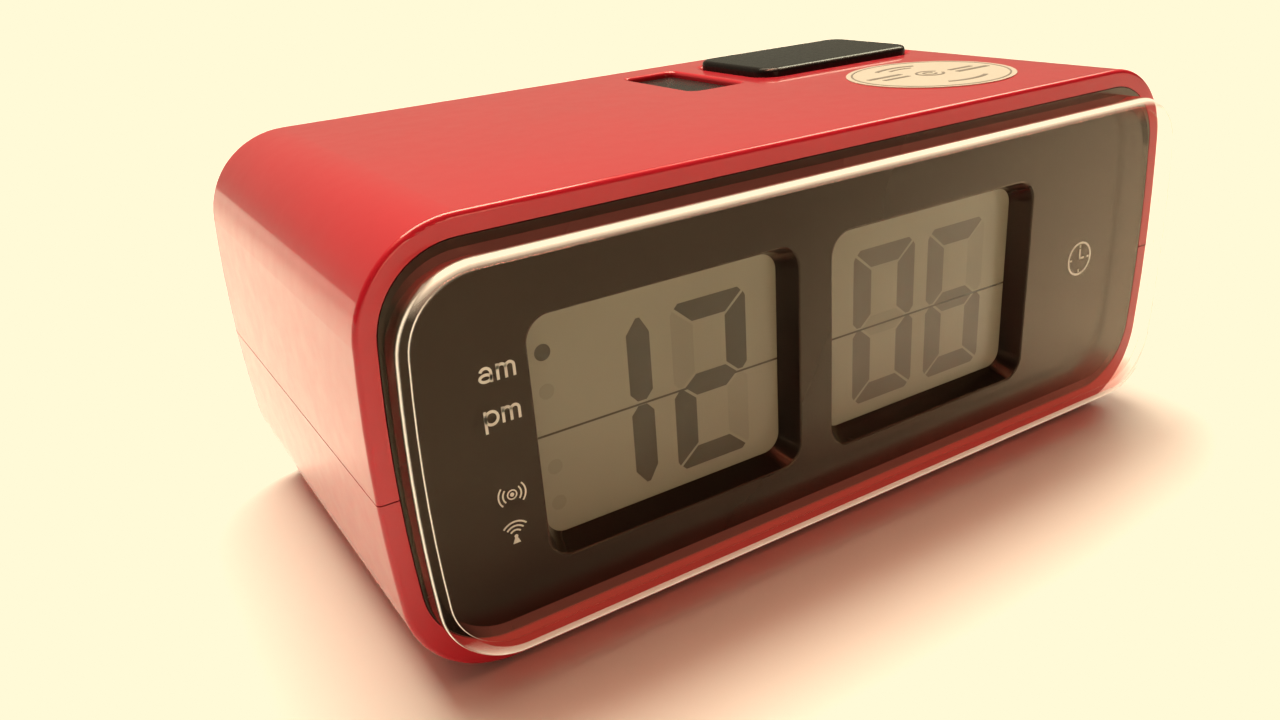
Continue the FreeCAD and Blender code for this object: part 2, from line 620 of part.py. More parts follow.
def upper_shell():
    body = half_case("upper_shell", keep_upper=True)
    for x, y in COLUMNS:
        column = disc(sketch_on(body, TOP, x=x, y=y, z="dims.seam_level"), "dims.column_size")
        extrude(body, column, f"{CEILING} + dims.wall / 2 - dims.seam_level", "+")
        pilot = disc(sketch_on(body, TOP, x=x, y=y, z="dims.seam_level"),
                     "dims.case_shank + dims.screw_slack")
        pocket(body, pilot, "dims.case_length", "+")
    for x, y in BOARD_POSTS:
        post = disc(sketch_on(body, TOP, x=x, y=y, z=BOARD_TOP), "dims.board_post")
        extrude(body, post, f"{CEILING} + dims.wall / 2 - {BOARD_TOP}", "+")
        pilot = disc(sketch_on(body, TOP, x=x, y=y, z=BOARD_TOP),
                     "dims.small_shank + dims.screw_slack")
        pocket(body, pilot, "dims.board_screw_length", "+")
    add_screw_blocks(body, "dims.rear_screw_high")
    for name, x in KEY_OPENINGS:
        opening = rounded(sketch_on(body, TOP, x=x, y="dims.key_mid", z="dims.body_tall"),
                          f"dims.{name}_width", f"dims.{name}_deep", f"dims.{name}_corner")
        pocket(body, opening, "2 * dims.wall", "-")
        reach = number(f"dims.{name}_width") / 2 + 0.1
        depth = number(f"dims.{name}_deep") / 2 + 0.1
        middle = number(x)
        mid_depth = number("dims.key_mid")
        around = (middle - reach, middle + reach, mid_depth - depth, mid_depth + depth)
        round_edges(body, f"dims.{name}_edge", lies_at("Z", number("dims.body_tall"), around))


def lower_shell():
    body = half_case("lower_shell", keep_upper=False)
    for x, y in COLUMNS:
        column = disc(sketch_on(body, TOP, x=x, y=y, z="dims.wall / 2"), "dims.column_size")
        extrude(body, column, "dims.seam_level - dims.wall / 2", "+")
        recess = disc(sketch_on(body, TOP, x=x, y=y), "dims.case_head + dims.head_slack")
        pocket(body, recess, "dims.column_sunk", "+")
        hole = disc(sketch_on(body, TOP, x=x, y=y), "dims.case_shank + dims.hole_slack")
        pocket(body, hole, "dims.body_tall", "+")
    add_screw_blocks(body, "dims.rear_screw_low")
    for x, y in FEET:
        seat = disc(sketch_on(body, TOP, x=x, y=y), "dims.foot_size + dims.plate_gap")
        pocket(body, seat, "dims.foot_sunk", "+")


def screws(label, places, plane, towards, head, head_tall, shank, length):
    """Screws at x, y, z places: each place is under the head, and the shank goes on from it."""
    body = new_body(label)
    back = "-" if towards == "+" else "+"
    for x, y, z in places:
        extrude(body, disc(sketch_on(body, plane, x, y, z), shank), length, towards)
        extrude(body, disc(sketch_on(body, plane, x, y, z), head), head_tall, back)
        shift = f"({head_tall} * {1 if back == '+' else -1})"
        face = (x, y, f"{z} + {shift}") if plane == TOP else (x, f"{y} + {shift}", z)
        for wide, tall in (("dims.recess_across", "dims.recess_arm"),
                           ("dims.recess_arm", "dims.recess_across")):
            arm = rectangle(sketch_on(body, plane, *face), wide, tall)
            pocket(body, arm, f"{head_tall} / 2", towards)


def rubber_feet():
    body = new_body("rubber_feet")
    for x, y in FEET:
        foot = disc(sketch_on(body, TOP, x=x, y=y, z="dims.foot_sunk"), "dims.foot_size")
        extrude(body, foot, "dims.foot_sunk + dims.foot_proud", "-")


# ---------------------------------------------------------------- front

WINDOWS = (("hour", "dims.hour_x"), ("minute", "dims.minute_x"))
PLATE_SCREWS = [(f"{side} * dims.plate_screw_x", level)
                for side in SIDES for level in ("dims.plate_screw_low", "dims.plate_screw_high")]
BAR_SHIFT = "(dims.glass_width / 2 + dims.glass_slack / 2 + dims.nest_bar / 2)"
DISPLAY_SCREWS = [(x, f"dims.window_level + {side} * dims.display_screw_rise")
                  for side in SIDES
                  for x in (f"dims.hour_x - {BAR_SHIFT}", "(dims.hour_x + dims.minute_x) / 2",
                            f"dims.minute_x + {BAR_SHIFT}")]


def face_plate():
    """The dark front plate: its two windows close in towards the rear like shallow funnels."""
    body = new_body("face_plate")
    outline = bowed(sketch_on(body, FRONT, z=PLATE_MID), "dims.plate_width", PLATE_TALL,
                    "dims.plate_corner")
    extrude(body, outline, "dims.plate_thick", "+")
    for _, x in WINDOWS:
        collar = rounded(sketch_on(body, FRONT, x=x, y="dims.plate_thick / 2", z="dims.window_level"),
                         "dims.window_width + 2 * dims.window_border",
                         "dims.window_tall + 2 * dims.window_border",
                         "dims.window_corner + dims.window_border")
        extrude(body, collar, "dims.window_deep - dims.plate_thick / 2", "+")
        front = rounded(sketch_on(body, FRONT, x=x, z="dims.window_level"),
                        "dims.window_width", "dims.window_tall", "dims.window_corner")
        rear = rounded(sketch_on(body, FRONT, x=x, y="dims.window_deep", z="dims.window_level"),
                       "dims.window_width - 2 * dims.window_slope",
                       "dims.window_tall - 2 * dims.window_slope",
                       "dims.window_corner - dims.window_slope / 2")
        doc.recompute()
        funnel = body.newObject("PartDesign::SubtractiveLoft", "funnel")
        funnel.Profile = front
        funnel.Sections = [rear]
        funnel.Ruled = True
        doc.recompute()
    for x, z in PLATE_SCREWS:
        boss = disc(sketch_on(body, FRONT, x=x, y="dims.plate_thick / 2", z=z), "dims.plate_boss")
        extrude(body, boss, "dims.window_deep - dims.plate_thick / 2", "+")
        pilot = disc(sketch_on(body, FRONT, x=x, y="dims.window_deep", z=z),
                     "dims.small_shank + dims.screw_slack")
        pocket(body, pilot, "dims.window_deep - dims.plate_thick / 2", "-")
    half_width = number("dims.window_width") / 2 + 0.1
    for _, x in WINDOWS:
        around = (number(x) - half_width, number(x) + half_width, -0.1, 0.1)
        round_edges(body, "dims.window_round", lies_at("Y", 0, around))


def clear_cover():
    """A shallow clear box, open at the rear, whose edge is bonded to the front plate."""
    body = new_body("clear_cover")
    outline = bowed(sketch_on(body, FRONT, z=COVER_MID), "dims.cover_width", COVER_TALL,
                    "dims.cover_corner")
    extrude(body, outline, "dims.cover_proud", "-")
    round_edges(body, "dims.cover_round", lies_at("Y", -number("dims.cover_proud")))
    hollow = bowed(sketch_on(body, FRONT, z=COVER_MID),
                   "dims.cover_width - 2 * dims.cover_wall", f"{COVER_TALL} - 2 * dims.cover_wall",
                   "dims.cover_corner - dims.cover_wall")
    pocket(body, hollow, "dims.cover_proud - dims.cover_wall", "-")
    round_edges(body, "dims.cover_inner_round",
                lies_at("Y", -number("dims.cover_proud - dims.cover_wall")))


def display_frame():
    """The black frame that the shells clamp: it carries the front plate and both displays."""
    body = new_body("display_frame")
    outline = rounded(sketch_on(body, FRONT, y="dims.window_deep", z="dims.frame_level"),
                      "dims.frame_width", "dims.frame_tall", "dims.frame_corner")
    extrude(body, outline, "dims.frame_thick", "+")
    nest_width = "(dims.glass_width + dims.glass_slack)"
    nest_tall = "(dims.glass_tall + dims.glass_slack)"
    span = f"(dims.minute_x - dims.hour_x + {nest_width} + 2 * dims.nest_bar)"
    nests = rectangle(sketch_on(body, FRONT, x="(dims.hour_x + dims.minute_x) / 2",
                                y="dims.window_deep", z="dims.window_level"),
                      span, f"{nest_tall} + 2 * dims.nest_wall")
    extrude(body, nests, "dims.nest_deep", "+")
    for _, x in WINDOWS:
        nest = rectangle(sketch_on(body, FRONT, x=x, y="dims.window_deep", z="dims.window_level"),
                         nest_width, nest_tall)
        pocket(body, nest, "dims.nest_deep", "+")
    for x, z in PLATE_SCREWS:
        hole = disc(sketch_on(body, FRONT, x=x, y="dims.window_deep", z=z),
                    "dims.small_shank + dims.hole_slack")
        pocket(body, hole, "dims.frame_thick", "+")
    for x, z in DISPLAY_SCREWS:
        pilot = disc(sketch_on(body, FRONT, x=x, y=FRAME_REAR, z=z),
                     "dims.small_shank + dims.screw_slack")
        pocket(body, pilot, "dims.board_screw_length", "-")


def display_stack(name, x):
    """One display: front glass, rear glass, reflector film and light guide."""
    depth = GLASS_FRONT
    short = "(dims.glass_tall - 2 * dims.ledge)"
    layers = (
        ("front_glass", "dims.glass_width", "dims.glass_tall", "dims.glass_thick", "0"),
        ("rear_glass", "dims.glass_width", short, "dims.glass_thick", "0"),
        ("reflector", "dims.glass_width", short, "dims.reflector_thick", "0"),
        ("light_guide", "dims.guide_width", short, "dims.guide_thick", "dims.guide_shift"),
    )
    for part, width, tall, thick, shift in layers:
        layer = block(f"{name}_{part}_block", width, thick, tall, f"{x} + {shift} - {width} / 2",
                      depth, f"dims.window_level - {tall} / 2")
        group(f"{name}_{part}", [layer])
        depth = f"({depth} + {thick})"


def contact_strips():
    """Rubber strips that join the glass ledges to the display board."""
    strips = []
    start = f"({GLASS_FRONT} + dims.glass_thick)"
    offset = "(dims.glass_tall - dims.ledge) / 2"
    for name, x in WINDOWS:
        for side in SIDES:
            middle = f"dims.window_level + {side} * {offset}"
            strips.append(block(f"{name}_strip", "dims.strip_length", f"{FRAME_REAR} - {start}",
                                "dims.strip_thick", f"{x} - dims.strip_length / 2", start,
                                f"{middle} - dims.strip_thick / 2"))
    group("contact_strips", strips)


def backlight_leds():
    """Two diodes at the left end of each light guide."""
    diodes = []
    for name, x in WINDOWS:
        guide_left = f"{x} + dims.guide_shift - dims.guide_width / 2"
        for side in SIDES:
            level = f"dims.window_level + {side} * dims.led_spread / 2 - dims.led_tall / 2"
            diodes.append(block(f"{name}_led", "dims.led_wide", "dims.led_deep", "dims.led_tall",
                                f"{guide_left} - dims.led_wide - 0.1",
                                f"{FRAME_REAR} - dims.led_deep", level))
    group("backlight_leds", diodes)


def drilled(label, blank, holes, axis):
    """A board with screw holes through it."""
    diameter = "dims.small_shank + dims.hole_slack"
    drills = [rod(f"{label}_drill", diameter, "dims.board_thick", *hole, axis) for hole in holes]
    group(label, [cut(f"{label}_plate", blank, fuse(f"{label}_drills", drills))])


def display_board():
    blank = block("display_board_blank", "dims.display_board_width", "dims.board_thick",
                  "dims.display_board_tall",
                  "(dims.hour_x + dims.minute_x) / 2 - dims.display_board_width / 2", FRAME_REAR,
                  "dims.window_level - dims.display_board_tall / 2")
    drilled("display_board", blank, [(x, FRAME_REAR, z) for x, z in DISPLAY_SCREWS], "y")


# ---------------------------------------------------------------- keys on top and main board

def key_cap(body, name, x, top):
    """The flange and the cap of a key in the housing's top."""
    gap = "2 * dims.key_gap"
    flange = rounded(sketch_on(body, TOP, x=x, y="dims.key_mid", z=FLANGE_LOW),
                     f"dims.{name}_width + 2 * dims.key_flange",
                     f"dims.{name}_deep + 2 * dims.key_flange",
                     f"dims.{name}_corner + dims.key_flange")
    extrude(body, flange, "dims.flange_thick", "+")
    cap = rounded(sketch_on(body, TOP, x=x, y="dims.key_mid", z=FLANGE_LOW),
                  f"dims.{name}_width - {gap}", f"dims.{name}_deep - {gap}",
                  f"dims.{name}_corner - dims.key_gap")
    extrude(body, cap, f"{top} - {FLANGE_LOW}", "+")
    round_edges(body, f"dims.{name}_round", lies_at("Z", number(top)))


def snooze_key():
    """The large key: a hollow cap with two posts above rubber domes."""
    body = new_body("snooze_key")
    top = "(dims.body_tall + dims.snooze_proud)"
    key_cap(body, "snooze", "dims.snooze_x", top)
    inset = "2 * (dims.key_gap + dims.key_skin)"
    hollow = rounded(sketch_on(body, TOP, x="dims.snooze_x", y="dims.key_mid", z=FLANGE_LOW),
                     f"dims.snooze_width - {inset}", f"dims.snooze_deep - {inset}",
                     "dims.snooze_corner / 2")
    pocket(body, hollow, f"{top} - dims.key_skin - {FLANGE_LOW}", "+")
    for side in SIDES:
        post = disc(sketch_on(body, TOP, x=f"dims.snooze_x + {side} * dims.snooze_post_x",
                              y="dims.key_mid", z=POST_END), "dims.key_post")
        extrude(body, post, f"{top} - dims.key_skin / 2 - {POST_END}", "+")


def light_key():
    """The small key: it lies a little below the housing's surface."""
    body = new_body("light_key")
    key_cap(body, "light", "dims.light_x", "(dims.body_tall - dims.light_sunk)")
    post = disc(sketch_on(body, TOP, x="dims.light_x", y="dims.key_mid", z=POST_END),
                "dims.key_post")
    extrude(body, post, f"{FLANGE_LOW} + dims.flange_thick / 2 - {POST_END}", "+")


def dome(name, x, y, z, tall, axis):
    """A rubber dome on a board."""
    shape = doc.addObject("Part::Cone", name)
    shape.setExpression("Radius1", "dims.dome_base / 2")
    shape.setExpression("Radius2", "dims.dome_top / 2")
    shape.setExpression("Height", tall)
    if axis == "y":
        shape.Placement.Rotation = FreeCAD.Rotation(FreeCAD.Vector(1, 0, 0), -90)
    for direction, place in zip("xyz", (x, y, z)):
        shape.setExpression(f"Placement.Base.{direction}", place)
    return shape


def top_domes():
    sides = [dome(f"snooze_dome_{index}", f"dims.snooze_x + {side} * dims.snooze_post_x",
                  "dims.key_mid", BOARD_TOP, "dims.dome_tall", "z")
             for index, side in enumerate(SIDES)]
    group("snooze_domes", sides)
    small = dome("light_dome_cone", "dims.light_x", "dims.key_mid", BOARD_TOP, "dims.dome_tall", "z")
    group("light_dome", [small])


def main_board():
    blank = block("main_board_blank", "dims.main_board_width", "dims.main_board_deep",
                  "dims.board_thick", "dims.main_board_left", "dims.main_board_front",
                  "dims.main_board_level")
    drilled("main_board", blank, [(x, y, "dims.main_board_level") for x, y in BOARD_POSTS], "z")


def board_parts():
    """Chips, crystal and capacitors under the main board."""
    under = "dims.main_board_level"
    chip = block("clock_chip_block", "dims.chip_size", "dims.chip_size", "dims.chip_thick",
                 "6", "60", f"{under} - dims.chip_thick")
    group("clock_chip", [chip])
    receiver = block("receiver_chip_block", "dims.receiver_size", "dims.receiver_size",
                     "dims.chip_thick", "dims.main_board_left + 12", "dims.main_board_front + 1",
                     f"{under} - dims.chip_thick")
    group("receiver_chip", [receiver])
    crystal = rod("crystal_can", "dims.crystal_size", "dims.crystal_length", "22", "60",
                  f"{under} - dims.crystal_size / 2", "x")
    group("quartz_crystal", [crystal])
    cans = [rod(f"capacitor_{index}", "dims.capacitor_size", "dims.capacitor_tall",
                f"{48 + 8 * index}", "60", f"{under} - dims.capacitor_tall", "z")
            for index in range(2)]
    group("capacitors", cans)


# ---------------------------------------------------------------- rear cover and what it carries

REAR_KEYS = (("set_key", "dims.rear_key_x - dims.rear_key_pitch"),
             ("down_key", "dims.rear_key_x"),
             ("up_key", "dims.rear_key_x + dims.rear_key_pitch"))
REAR_POSTS = (("dims.rear_board_left + dims.board_post_inset",
               "dims.rear_board_low + dims.board_post_inset"),
              ("dims.rear_board_left + dims.rear_board_width - dims.board_post_inset",
               "dims.rear_board_low + dims.rear_board_tall - dims.board_post_inset"))
REAR_SCREWS = [(f"{side} * dims.rear_screw_x", level)
               for side in SIDES for level in ("dims.rear_screw_low", "dims.rear_screw_high")]


def rear_cover():
    body = new_body("rear_cover")
    outline = rounded(sketch_on(body, FRONT, y=REAR_INNER, z=BODY_MID),
                      f"{CAVITY_WIDTH} - 2 * dims.rear_gap", f"{CAVITY_TALL} - 2 * dims.rear_gap",
                      "dims.cavity_corner - dims.rear_gap")
    extrude(body, outline, "dims.rear_thick", "+")
    for x, z in REAR_POSTS:
        post = disc(sketch_on(body, FRONT, x=x, y=REAR_BOARD_FACE, z=z), "dims.board_post")
        extrude(body, post, "dims.rear_board_back + dims.rear_thick / 2", "+")
        pilot = disc(sketch_on(body, FRONT, x=x, y=REAR_BOARD_FACE, z=z),
                     "dims.small_shank + dims.screw_slack")
        pocket(body, pilot, "dims.board_screw_length", "+")
    for x, z in REAR_SCREWS:
        recess = disc(sketch_on(body, FRONT, x=x, y=REAR_FACE, z=z),
                      "dims.case_head + dims.head_slack")
        pocket(body, recess, "dims.rear_screw_sunk", "-")
        hole = disc(sketch_on(body, FRONT, x=x, y=REAR_FACE, z=z),
                    "dims.case_shank + dims.hole_slack")
        pocket(body, hole, "dims.rear_thick", "-")
    for _, x in REAR_KEYS:
        hole = disc(sketch_on(body, FRONT, x=x, y=REAR_FACE, z="dims.rear_key_level"),
                    "dims.rear_key_size + 2 * dims.rear_key_gap")
        pocket(body, hole, "dims.rear_thick", "-")
    slide = rectangle(sketch_on(body, FRONT, x="dims.rear_key_x", y=REAR_FACE,
                                z="dims.switch_level"),
                      "dims.knob_width + dims.switch_travel + dims.switch_slack",
                      "dims.knob_tall + dims.switch_slack")
    pocket(body, slide, "dims.rear_thick", "-")
    for step in range(-2, 3):
        slot = rounded(sketch_on(body, FRONT, x="dims.sounder_x", y=REAR_FACE,
                                 z=f"dims.sounder_level + {step} * dims.slot_pitch"),
                       "dims.slot_length", "dims.slot_width", "dims.slot_width / 2 - 0.01")
        pocket(body, slot, "dims.rear_thick", "-")
    door = rounded(sketch_on(body, FRONT, x="dims.box_x", y=REAR_FACE, z="dims.box_level"),
                   "dims.door_width", "dims.door_tall", "dims.door_corner")
    pocket(body, door, "dims.rear_thick", "-")


def rear_key(label, x):
    """A round key with a flange behind the rear cover."""
    body = new_body(label)
    outer = f"({REAR_FACE} + dims.rear_key_proud)"
    stem_end = f"({REAR_BOARD_FACE} + dims.rear_dome_tall + dims.dome_gap)"
    flange_face = f"({REAR_INNER} - dims.flange_play)"
    cap = disc(sketch_on(body, FRONT, x=x, y=outer, z="dims.rear_key_level"), "dims.rear_key_size")
    extrude(body, cap, f"{outer} - {flange_face} + dims.flange_thick", "-")
    round_edges(body, "dims.rear_key_round", lies_at("Y", number(outer)))
    flange = disc(sketch_on(body, FRONT, x=x, y=flange_face, z="dims.rear_key_level"),
                  "dims.rear_flange")
    extrude(body, flange, "dims.flange_thick", "-")
    stem = disc(sketch_on(body, FRONT, x=x, y=stem_end, z="dims.rear_key_level"), "dims.key_post")
    extrude(body, stem, f"{flange_face} - dims.flange_thick / 2 - {stem_end}", "+")


def rear_board():
    back = f"{REAR_BOARD_FACE} - dims.board_thick"
    blank = block("rear_board_blank", "dims.rear_board_width", "dims.board_thick",
                  "dims.rear_board_tall", "dims.rear_board_left", back, "dims.rear_board_low")
    drilled("rear_board", blank, [(x, back, z) for x, z in REAR_POSTS], "y")


def rear_domes():
    for label, x in REAR_KEYS:
        shape = dome(f"{label}_cone", x, REAR_BOARD_FACE, "dims.rear_key_level",
                     "dims.rear_dome_tall", "y")
        group(label.replace("key", "dome"), [shape])


def slide_switch():
    """A slide switch on the rear board, its knob standing at the left end of its travel."""
    body = new_body("alarm_switch_body")
    face = f"({REAR_BOARD_FACE} + dims.switch_deep)"
    case = rectangle(sketch_on(body, FRONT, x="dims.rear_key_x", y=REAR_BOARD_FACE,
                               z="dims.switch_level"), "dims.switch_width", "dims.switch_tall")
    extrude(body, case, "dims.switch_deep", "+")
    slot = rectangle(sketch_on(body, FRONT, x="dims.rear_key_x", y=face, z="dims.switch_level"),
                     "dims.switch_stem + dims.switch_travel + dims.switch_slack",
                     "dims.switch_stem_tall + dims.switch_slack")
    pocket(body, slot, "dims.switch_slot_deep", "-")

    knob = new_body("alarm_switch_knob")
    rest = "dims.rear_key_x - dims.switch_travel / 2"
    neck = f"({face} + dims.switch_slack)"
    stem = rectangle(sketch_on(knob, FRONT, x=rest, y=neck, z="dims.switch_level"),
                     "dims.switch_stem", "dims.switch_stem_tall")
    extrude(knob, stem, "dims.switch_slot_deep", "-")
    grip = rectangle(sketch_on(knob, FRONT, x=rest, y=neck, z="dims.switch_level"),
                     "dims.knob_width", "dims.knob_tall")
    outer = f"({REAR_FACE} + dims.knob_proud)"
    extrude(knob, grip, f"{outer} - {neck}", "+")
    round_edges(knob, "dims.knob_edge", lies_at("Y", number(outer)))


def sounder():
    """A round sounder behind the slots: an open cup with a thin disc in it."""
    x = "dims.sounder_x"
    z = "dims.sounder_level"
    start = f"({REAR_INNER} - dims.sounder_deep)"
    cup = rod("sounder_cup", "dims.sounder_size", "dims.sounder_deep", x, start, z, "y")
    room = rod("sounder_room", "dims.sounder_size - 2 * dims.sounder_wall",
               "dims.sounder_deep - dims.sounder_wall", x, f"{start} + dims.sounder_wall", z, "y")
    group("sounder_case", [cut("sounder_shell", cup, room)])
    disc_blank = rod("sounder_plate", "dims.sounder_size - 2 * dims.sounder_wall - 0.1",
                     "dims.disc_thick", x, f"{start} + dims.sounder_deep / 2", z, "y")
    group("sounder_disc", [disc_blank])


# ---------------------------------------------------------------- batteries

HOOKS = [f"dims.box_x + {side} * dims.hook_x" for side in SIDES]
BOX_LEFT = "(dims.box_x - dims.box_inner_width / 2)"
BOX_RIGHT = "(dims.box_x + dims.box_inner_width / 2)"
LOW_CELL = "(dims.box_level - dims.cell_pitch / 2)"
HIGH_CELL = "(dims.box_level + dims.cell_pitch / 2)"


def battery_box():
    body = new_body("battery_box")
    outer = rectangle(sketch_on(body, FRONT, x="dims.box_x", y=REAR_INNER, z="dims.box_level"),
                      "dims.box_inner_width + 2 * dims.box_wall",
                      "dims.box_inner_tall + 2 * dims.box_wall")
    extrude(body, outer, "dims.box_deep", "-")
    inner = rectangle(sketch_on(body, FRONT, x="dims.box_x", y=REAR_INNER, z="dims.box_level"),
                      "dims.box_inner_width", "dims.box_inner_tall")
    pocket(body, inner, "dims.box_deep - dims.box_wall", "-")
    for x in HOOKS:
        notch = rectangle(sketch_on(body, FRONT, x=x, y=REAR_INNER,
                                    z="dims.box_level - dims.box_inner_tall / 2"),
                          "dims.hook_width + 1", "3 * dims.box_wall")
        pocket(body, notch, "dims.hook_room", "-")
    for level in (LOW_CELL, HIGH_CELL):
        slot = rectangle(sketch_on(body, SIDE, x=BOX_RIGHT, y=CELL_DEPTH, z=level),
                         "dims.tail_wide + dims.tail_slack",
                         "dims.contact_thick + dims.tail_slack")
        pocket(body, slot, "dims.box_wall", "+")


def battery_door():
    """The door hangs on two hooks under its lower edge and swings out about that edge."""
    body = new_body("battery_door")
    gap = "2 * dims.door_gap"
    face = rounded(sketch_on(body, FRONT, x="dims.box_x", y=REAR_FACE, z="dims.box_level"),
                   f"dims.door_width - {gap}", f"dims.door_tall - {gap}",
                   "dims.door_corner - dims.door_gap")
    extrude(body, face, "dims.door_thick", "-")
    inner = f"({REAR_FACE} - dims.door_thick)"
    arm_low = f"({DOOR_LOW} + dims.door_gap)"
    hook_end = f"({inner} - dims.hook_reach)"
    for x in HOOKS:
        arm = rectangle(sketch_on(body, FRONT, x=x, y=inner, z=f"{arm_low} + dims.hook_thick / 2"),
                        "dims.hook_width", "dims.hook_thick")
        extrude(body, arm, "dims.hook_reach", "-")
        drop = "(dims.hook_drop + dims.hook_thick)"
        hook = rectangle(sketch_on(body, FRONT, x=x, y=hook_end,
                                   z=f"{arm_low} + dims.hook_thick - {drop} / 2"),
                         "dims.hook_width", drop)
        extrude(body, hook, "dims.hook_thick", "+")
    for step in range(3):
        ridge = rectangle(sketch_on(body, FRONT, x="dims.box_x", y=REAR_FACE,
                                    z=f"{DOOR_LOW} + dims.door_tall - 4 - {step} * dims.grip_pitch"),
                          "dims.grip_width", "dims.grip_tall")
        extrude(body, ridge, "dims.grip_proud", "+")


def battery_cells():
    """Two cells, one above the other, lying opposite ways."""
    barrel_long = "(dims.cell_length - dims.cell_button_long)"
    start = f"({BOX_RIGHT} - dims.contact_thick - dims.cell_length)"
    low = fuse("low_cell", [
        rod("low_barrel", "dims.cell_size", barrel_long, start, CELL_DEPTH, LOW_CELL, "x"),
        rod("low_button", "dims.cell_button", "dims.cell_length", start, CELL_DEPTH, LOW_CELL, "x"),
    ])
    start = f"({BOX_LEFT} + dims.contact_thick)"
    high = fuse("high_cell", [
        rod("high_barrel", "dims.cell_size", barrel_long, f"{start} + dims.cell_button_long",
            CELL_DEPTH, HIGH_CELL, "x"),
        rod("high_button", "dims.cell_button", "dims.cell_length", start, CELL_DEPTH, HIGH_CELL, "x"),
    ])
    group("battery_cells", [low, high])


def contact_plates():
    """A plate that joins both cells on the left, and one plate for each cell on the right."""
    near = f"{CELL_DEPTH} - dims.contact_wide / 2"
    bridge = block("bridge_plate", "dims.contact_thick", "dims.contact_wide",
                   "dims.cell_pitch + dims.contact_wide", BOX_LEFT, near,
                   f"{LOW_CELL} - dims.contact_wide / 2")
    singles = []
    for name, level in (("low", LOW_CELL), ("high", HIGH_CELL)):
        plate = block(f"{name}_plate", "dims.contact_thick", "dims.contact_wide",
                      "dims.contact_wide", f"{BOX_RIGHT} - dims.contact_thick", near,
                      f"{level} - dims.contact_wide / 2")
        tail = block(f"{name}_contact_tail", f"dims.{name}_tail", "dims.tail_wide",
                     "dims.contact_thick", f"{BOX_RIGHT} - dims.contact_thick",
                     f"{CELL_DEPTH} - dims.tail_wide / 2", f"{level} - dims.contact_thick / 2")
        singles.append(fuse(f"{name}_contact", [plate, tail]))
    group("contact_plates", [bridge, *singles])


def contact_springs():
    """A bent leaf spring at the flat end of each cell."""
    reach = number("dims.leaf_reach")
    rise = number("dims.leaf_rise")
    depth = number(CELL_DEPTH)
    leaves = []
    for foot, inward, level in ((f"{BOX_LEFT} + dims.contact_thick + dims.leaf_stand", 1, LOW_CELL),
                                (f"{BOX_RIGHT} - dims.contact_thick - dims.leaf_stand", -1,
                                 HIGH_CELL)):
        x = number(foot)
        z = number(level)
        points = [(x, depth, z - rise), (x + inward * reach, depth, z), (x, depth, z + rise)]
        along = (FreeCAD.Vector(*points[1]) - FreeCAD.Vector(*points[0])).normalize()
        across = along.cross(FreeCAD.Vector(0, 1, 0)) * (number("dims.leaf_thick") / 2)
        side = FreeCAD.Vector(0, number("dims.leaf_wide") / 2, 0)
        start = FreeCAD.Vector(*points[0])
        corners = [start - side - across, start + side - across, start + side + across,
                   start - side + across]
        profile = Part.makePolygon([*corners, corners[0]])
        path = bent_path(points, number("dims.leaf_bend"))
        leaves.append(path.makePipeShell([profile], True, False))
    piece = doc.addObject("Part::Feature", "contact_springs")
    piece.Shape = Part.makeCompound(leaves)
    settle(piece, "contact_springs")


# ---------------------------------------------------------------- antenna, wiring, label

def antenna():
    """A ferrite rod with its coil, hung in a holder under the housing's top."""
    left = "(dims.rod_x - dims.rod_length / 2)"
    place = ("dims.rod_deep", "dims.rod_level")
    group("ferrite_rod", [rod("ferrite_bar", "dims.rod_size", "dims.rod_length", left, *place, "x")])
    coil_left = "(dims.rod_x - dims.coil_length / 2)"
    winding = rod("winding", "dims.coil_size", "dims.coil_length", coil_left, *place, "x")
    bore = rod("winding_bore", "dims.rod_size + dims.coil_slack", "dims.coil_length", coil_left,
               *place, "x")
    group("antenna_coil", [cut("winding_tube", winding, bore)])

    front = "dims.rod_deep - dims.holder_width / 2"
    span = "(dims.holder_spread + dims.holder_arm)"
    bar = block("holder_bar", span, "dims.holder_width", "dims.holder_thick",
                f"dims.rod_x - {span} / 2", front, f"{CEILING} - dims.holder_thick")
    drop = f"({CEILING} - dims.rod_level + dims.rod_size)"
    arms = [block(f"holder_arm_{index}", "dims.holder_arm", "dims.holder_width", drop,
                  f"dims.rod_x + {side} * dims.holder_spread / 2 - dims.holder_arm / 2", front,
                  f"{CEILING} - {drop}")
            for index, side in enumerate(SIDES)]
    passage = rod("holder_bore", "dims.rod_size + dims.coil_slack", "dims.rod_length", left,
                  *place, "x")
    group("antenna_holder", [cut("holder", fuse("holder_blank", [bar, *arms]), passage)])


def bent_path(points, bend):
    """Straight runs through the given points, joined by arcs of one bend radius."""
    corners = [FreeCAD.Vector(*point) for point in points]
    edges = []
    start = corners[0]
    for before, corner, after in zip(corners, corners[1:], corners[2:]):
        into = (before - corner).normalize()
        out = (after - corner).normalize()
        half_turn = (math.pi - into.getAngle(out)) / 2
        first = corner + into * (bend * math.tan(half_turn))
        last = corner + out * (bend * math.tan(half_turn))
        bisector = (into + out).normalize()
        middle = corner + bisector * (bend / math.cos(half_turn) - bend)
        edges.append(Part.LineSegment(start, first).toShape())
        edges.append(Part.Arc(first, middle, last).toShape())
        start = last
    edges.append(Part.LineSegment(start, corners[-1]).toShape())
    return Part.Wire(edges)


def wires(label, routes, size, bend):
    """Round wires, each along its own route."""
    shapes = []
    for points in routes:
        start = FreeCAD.Vector(*points[0])
        direction = FreeCAD.Vector(*points[1]) - start
        outline = Part.Wire(Part.makeCircle(number(size) / 2, start, direction))
        shapes.append(bent_path(points, number(bend)).makePipeShell([outline], True, False))
    piece = doc.addObject("Part::Feature", label)
    piece.Shape = Part.makeCompound(shapes)
    settle(piece, label)


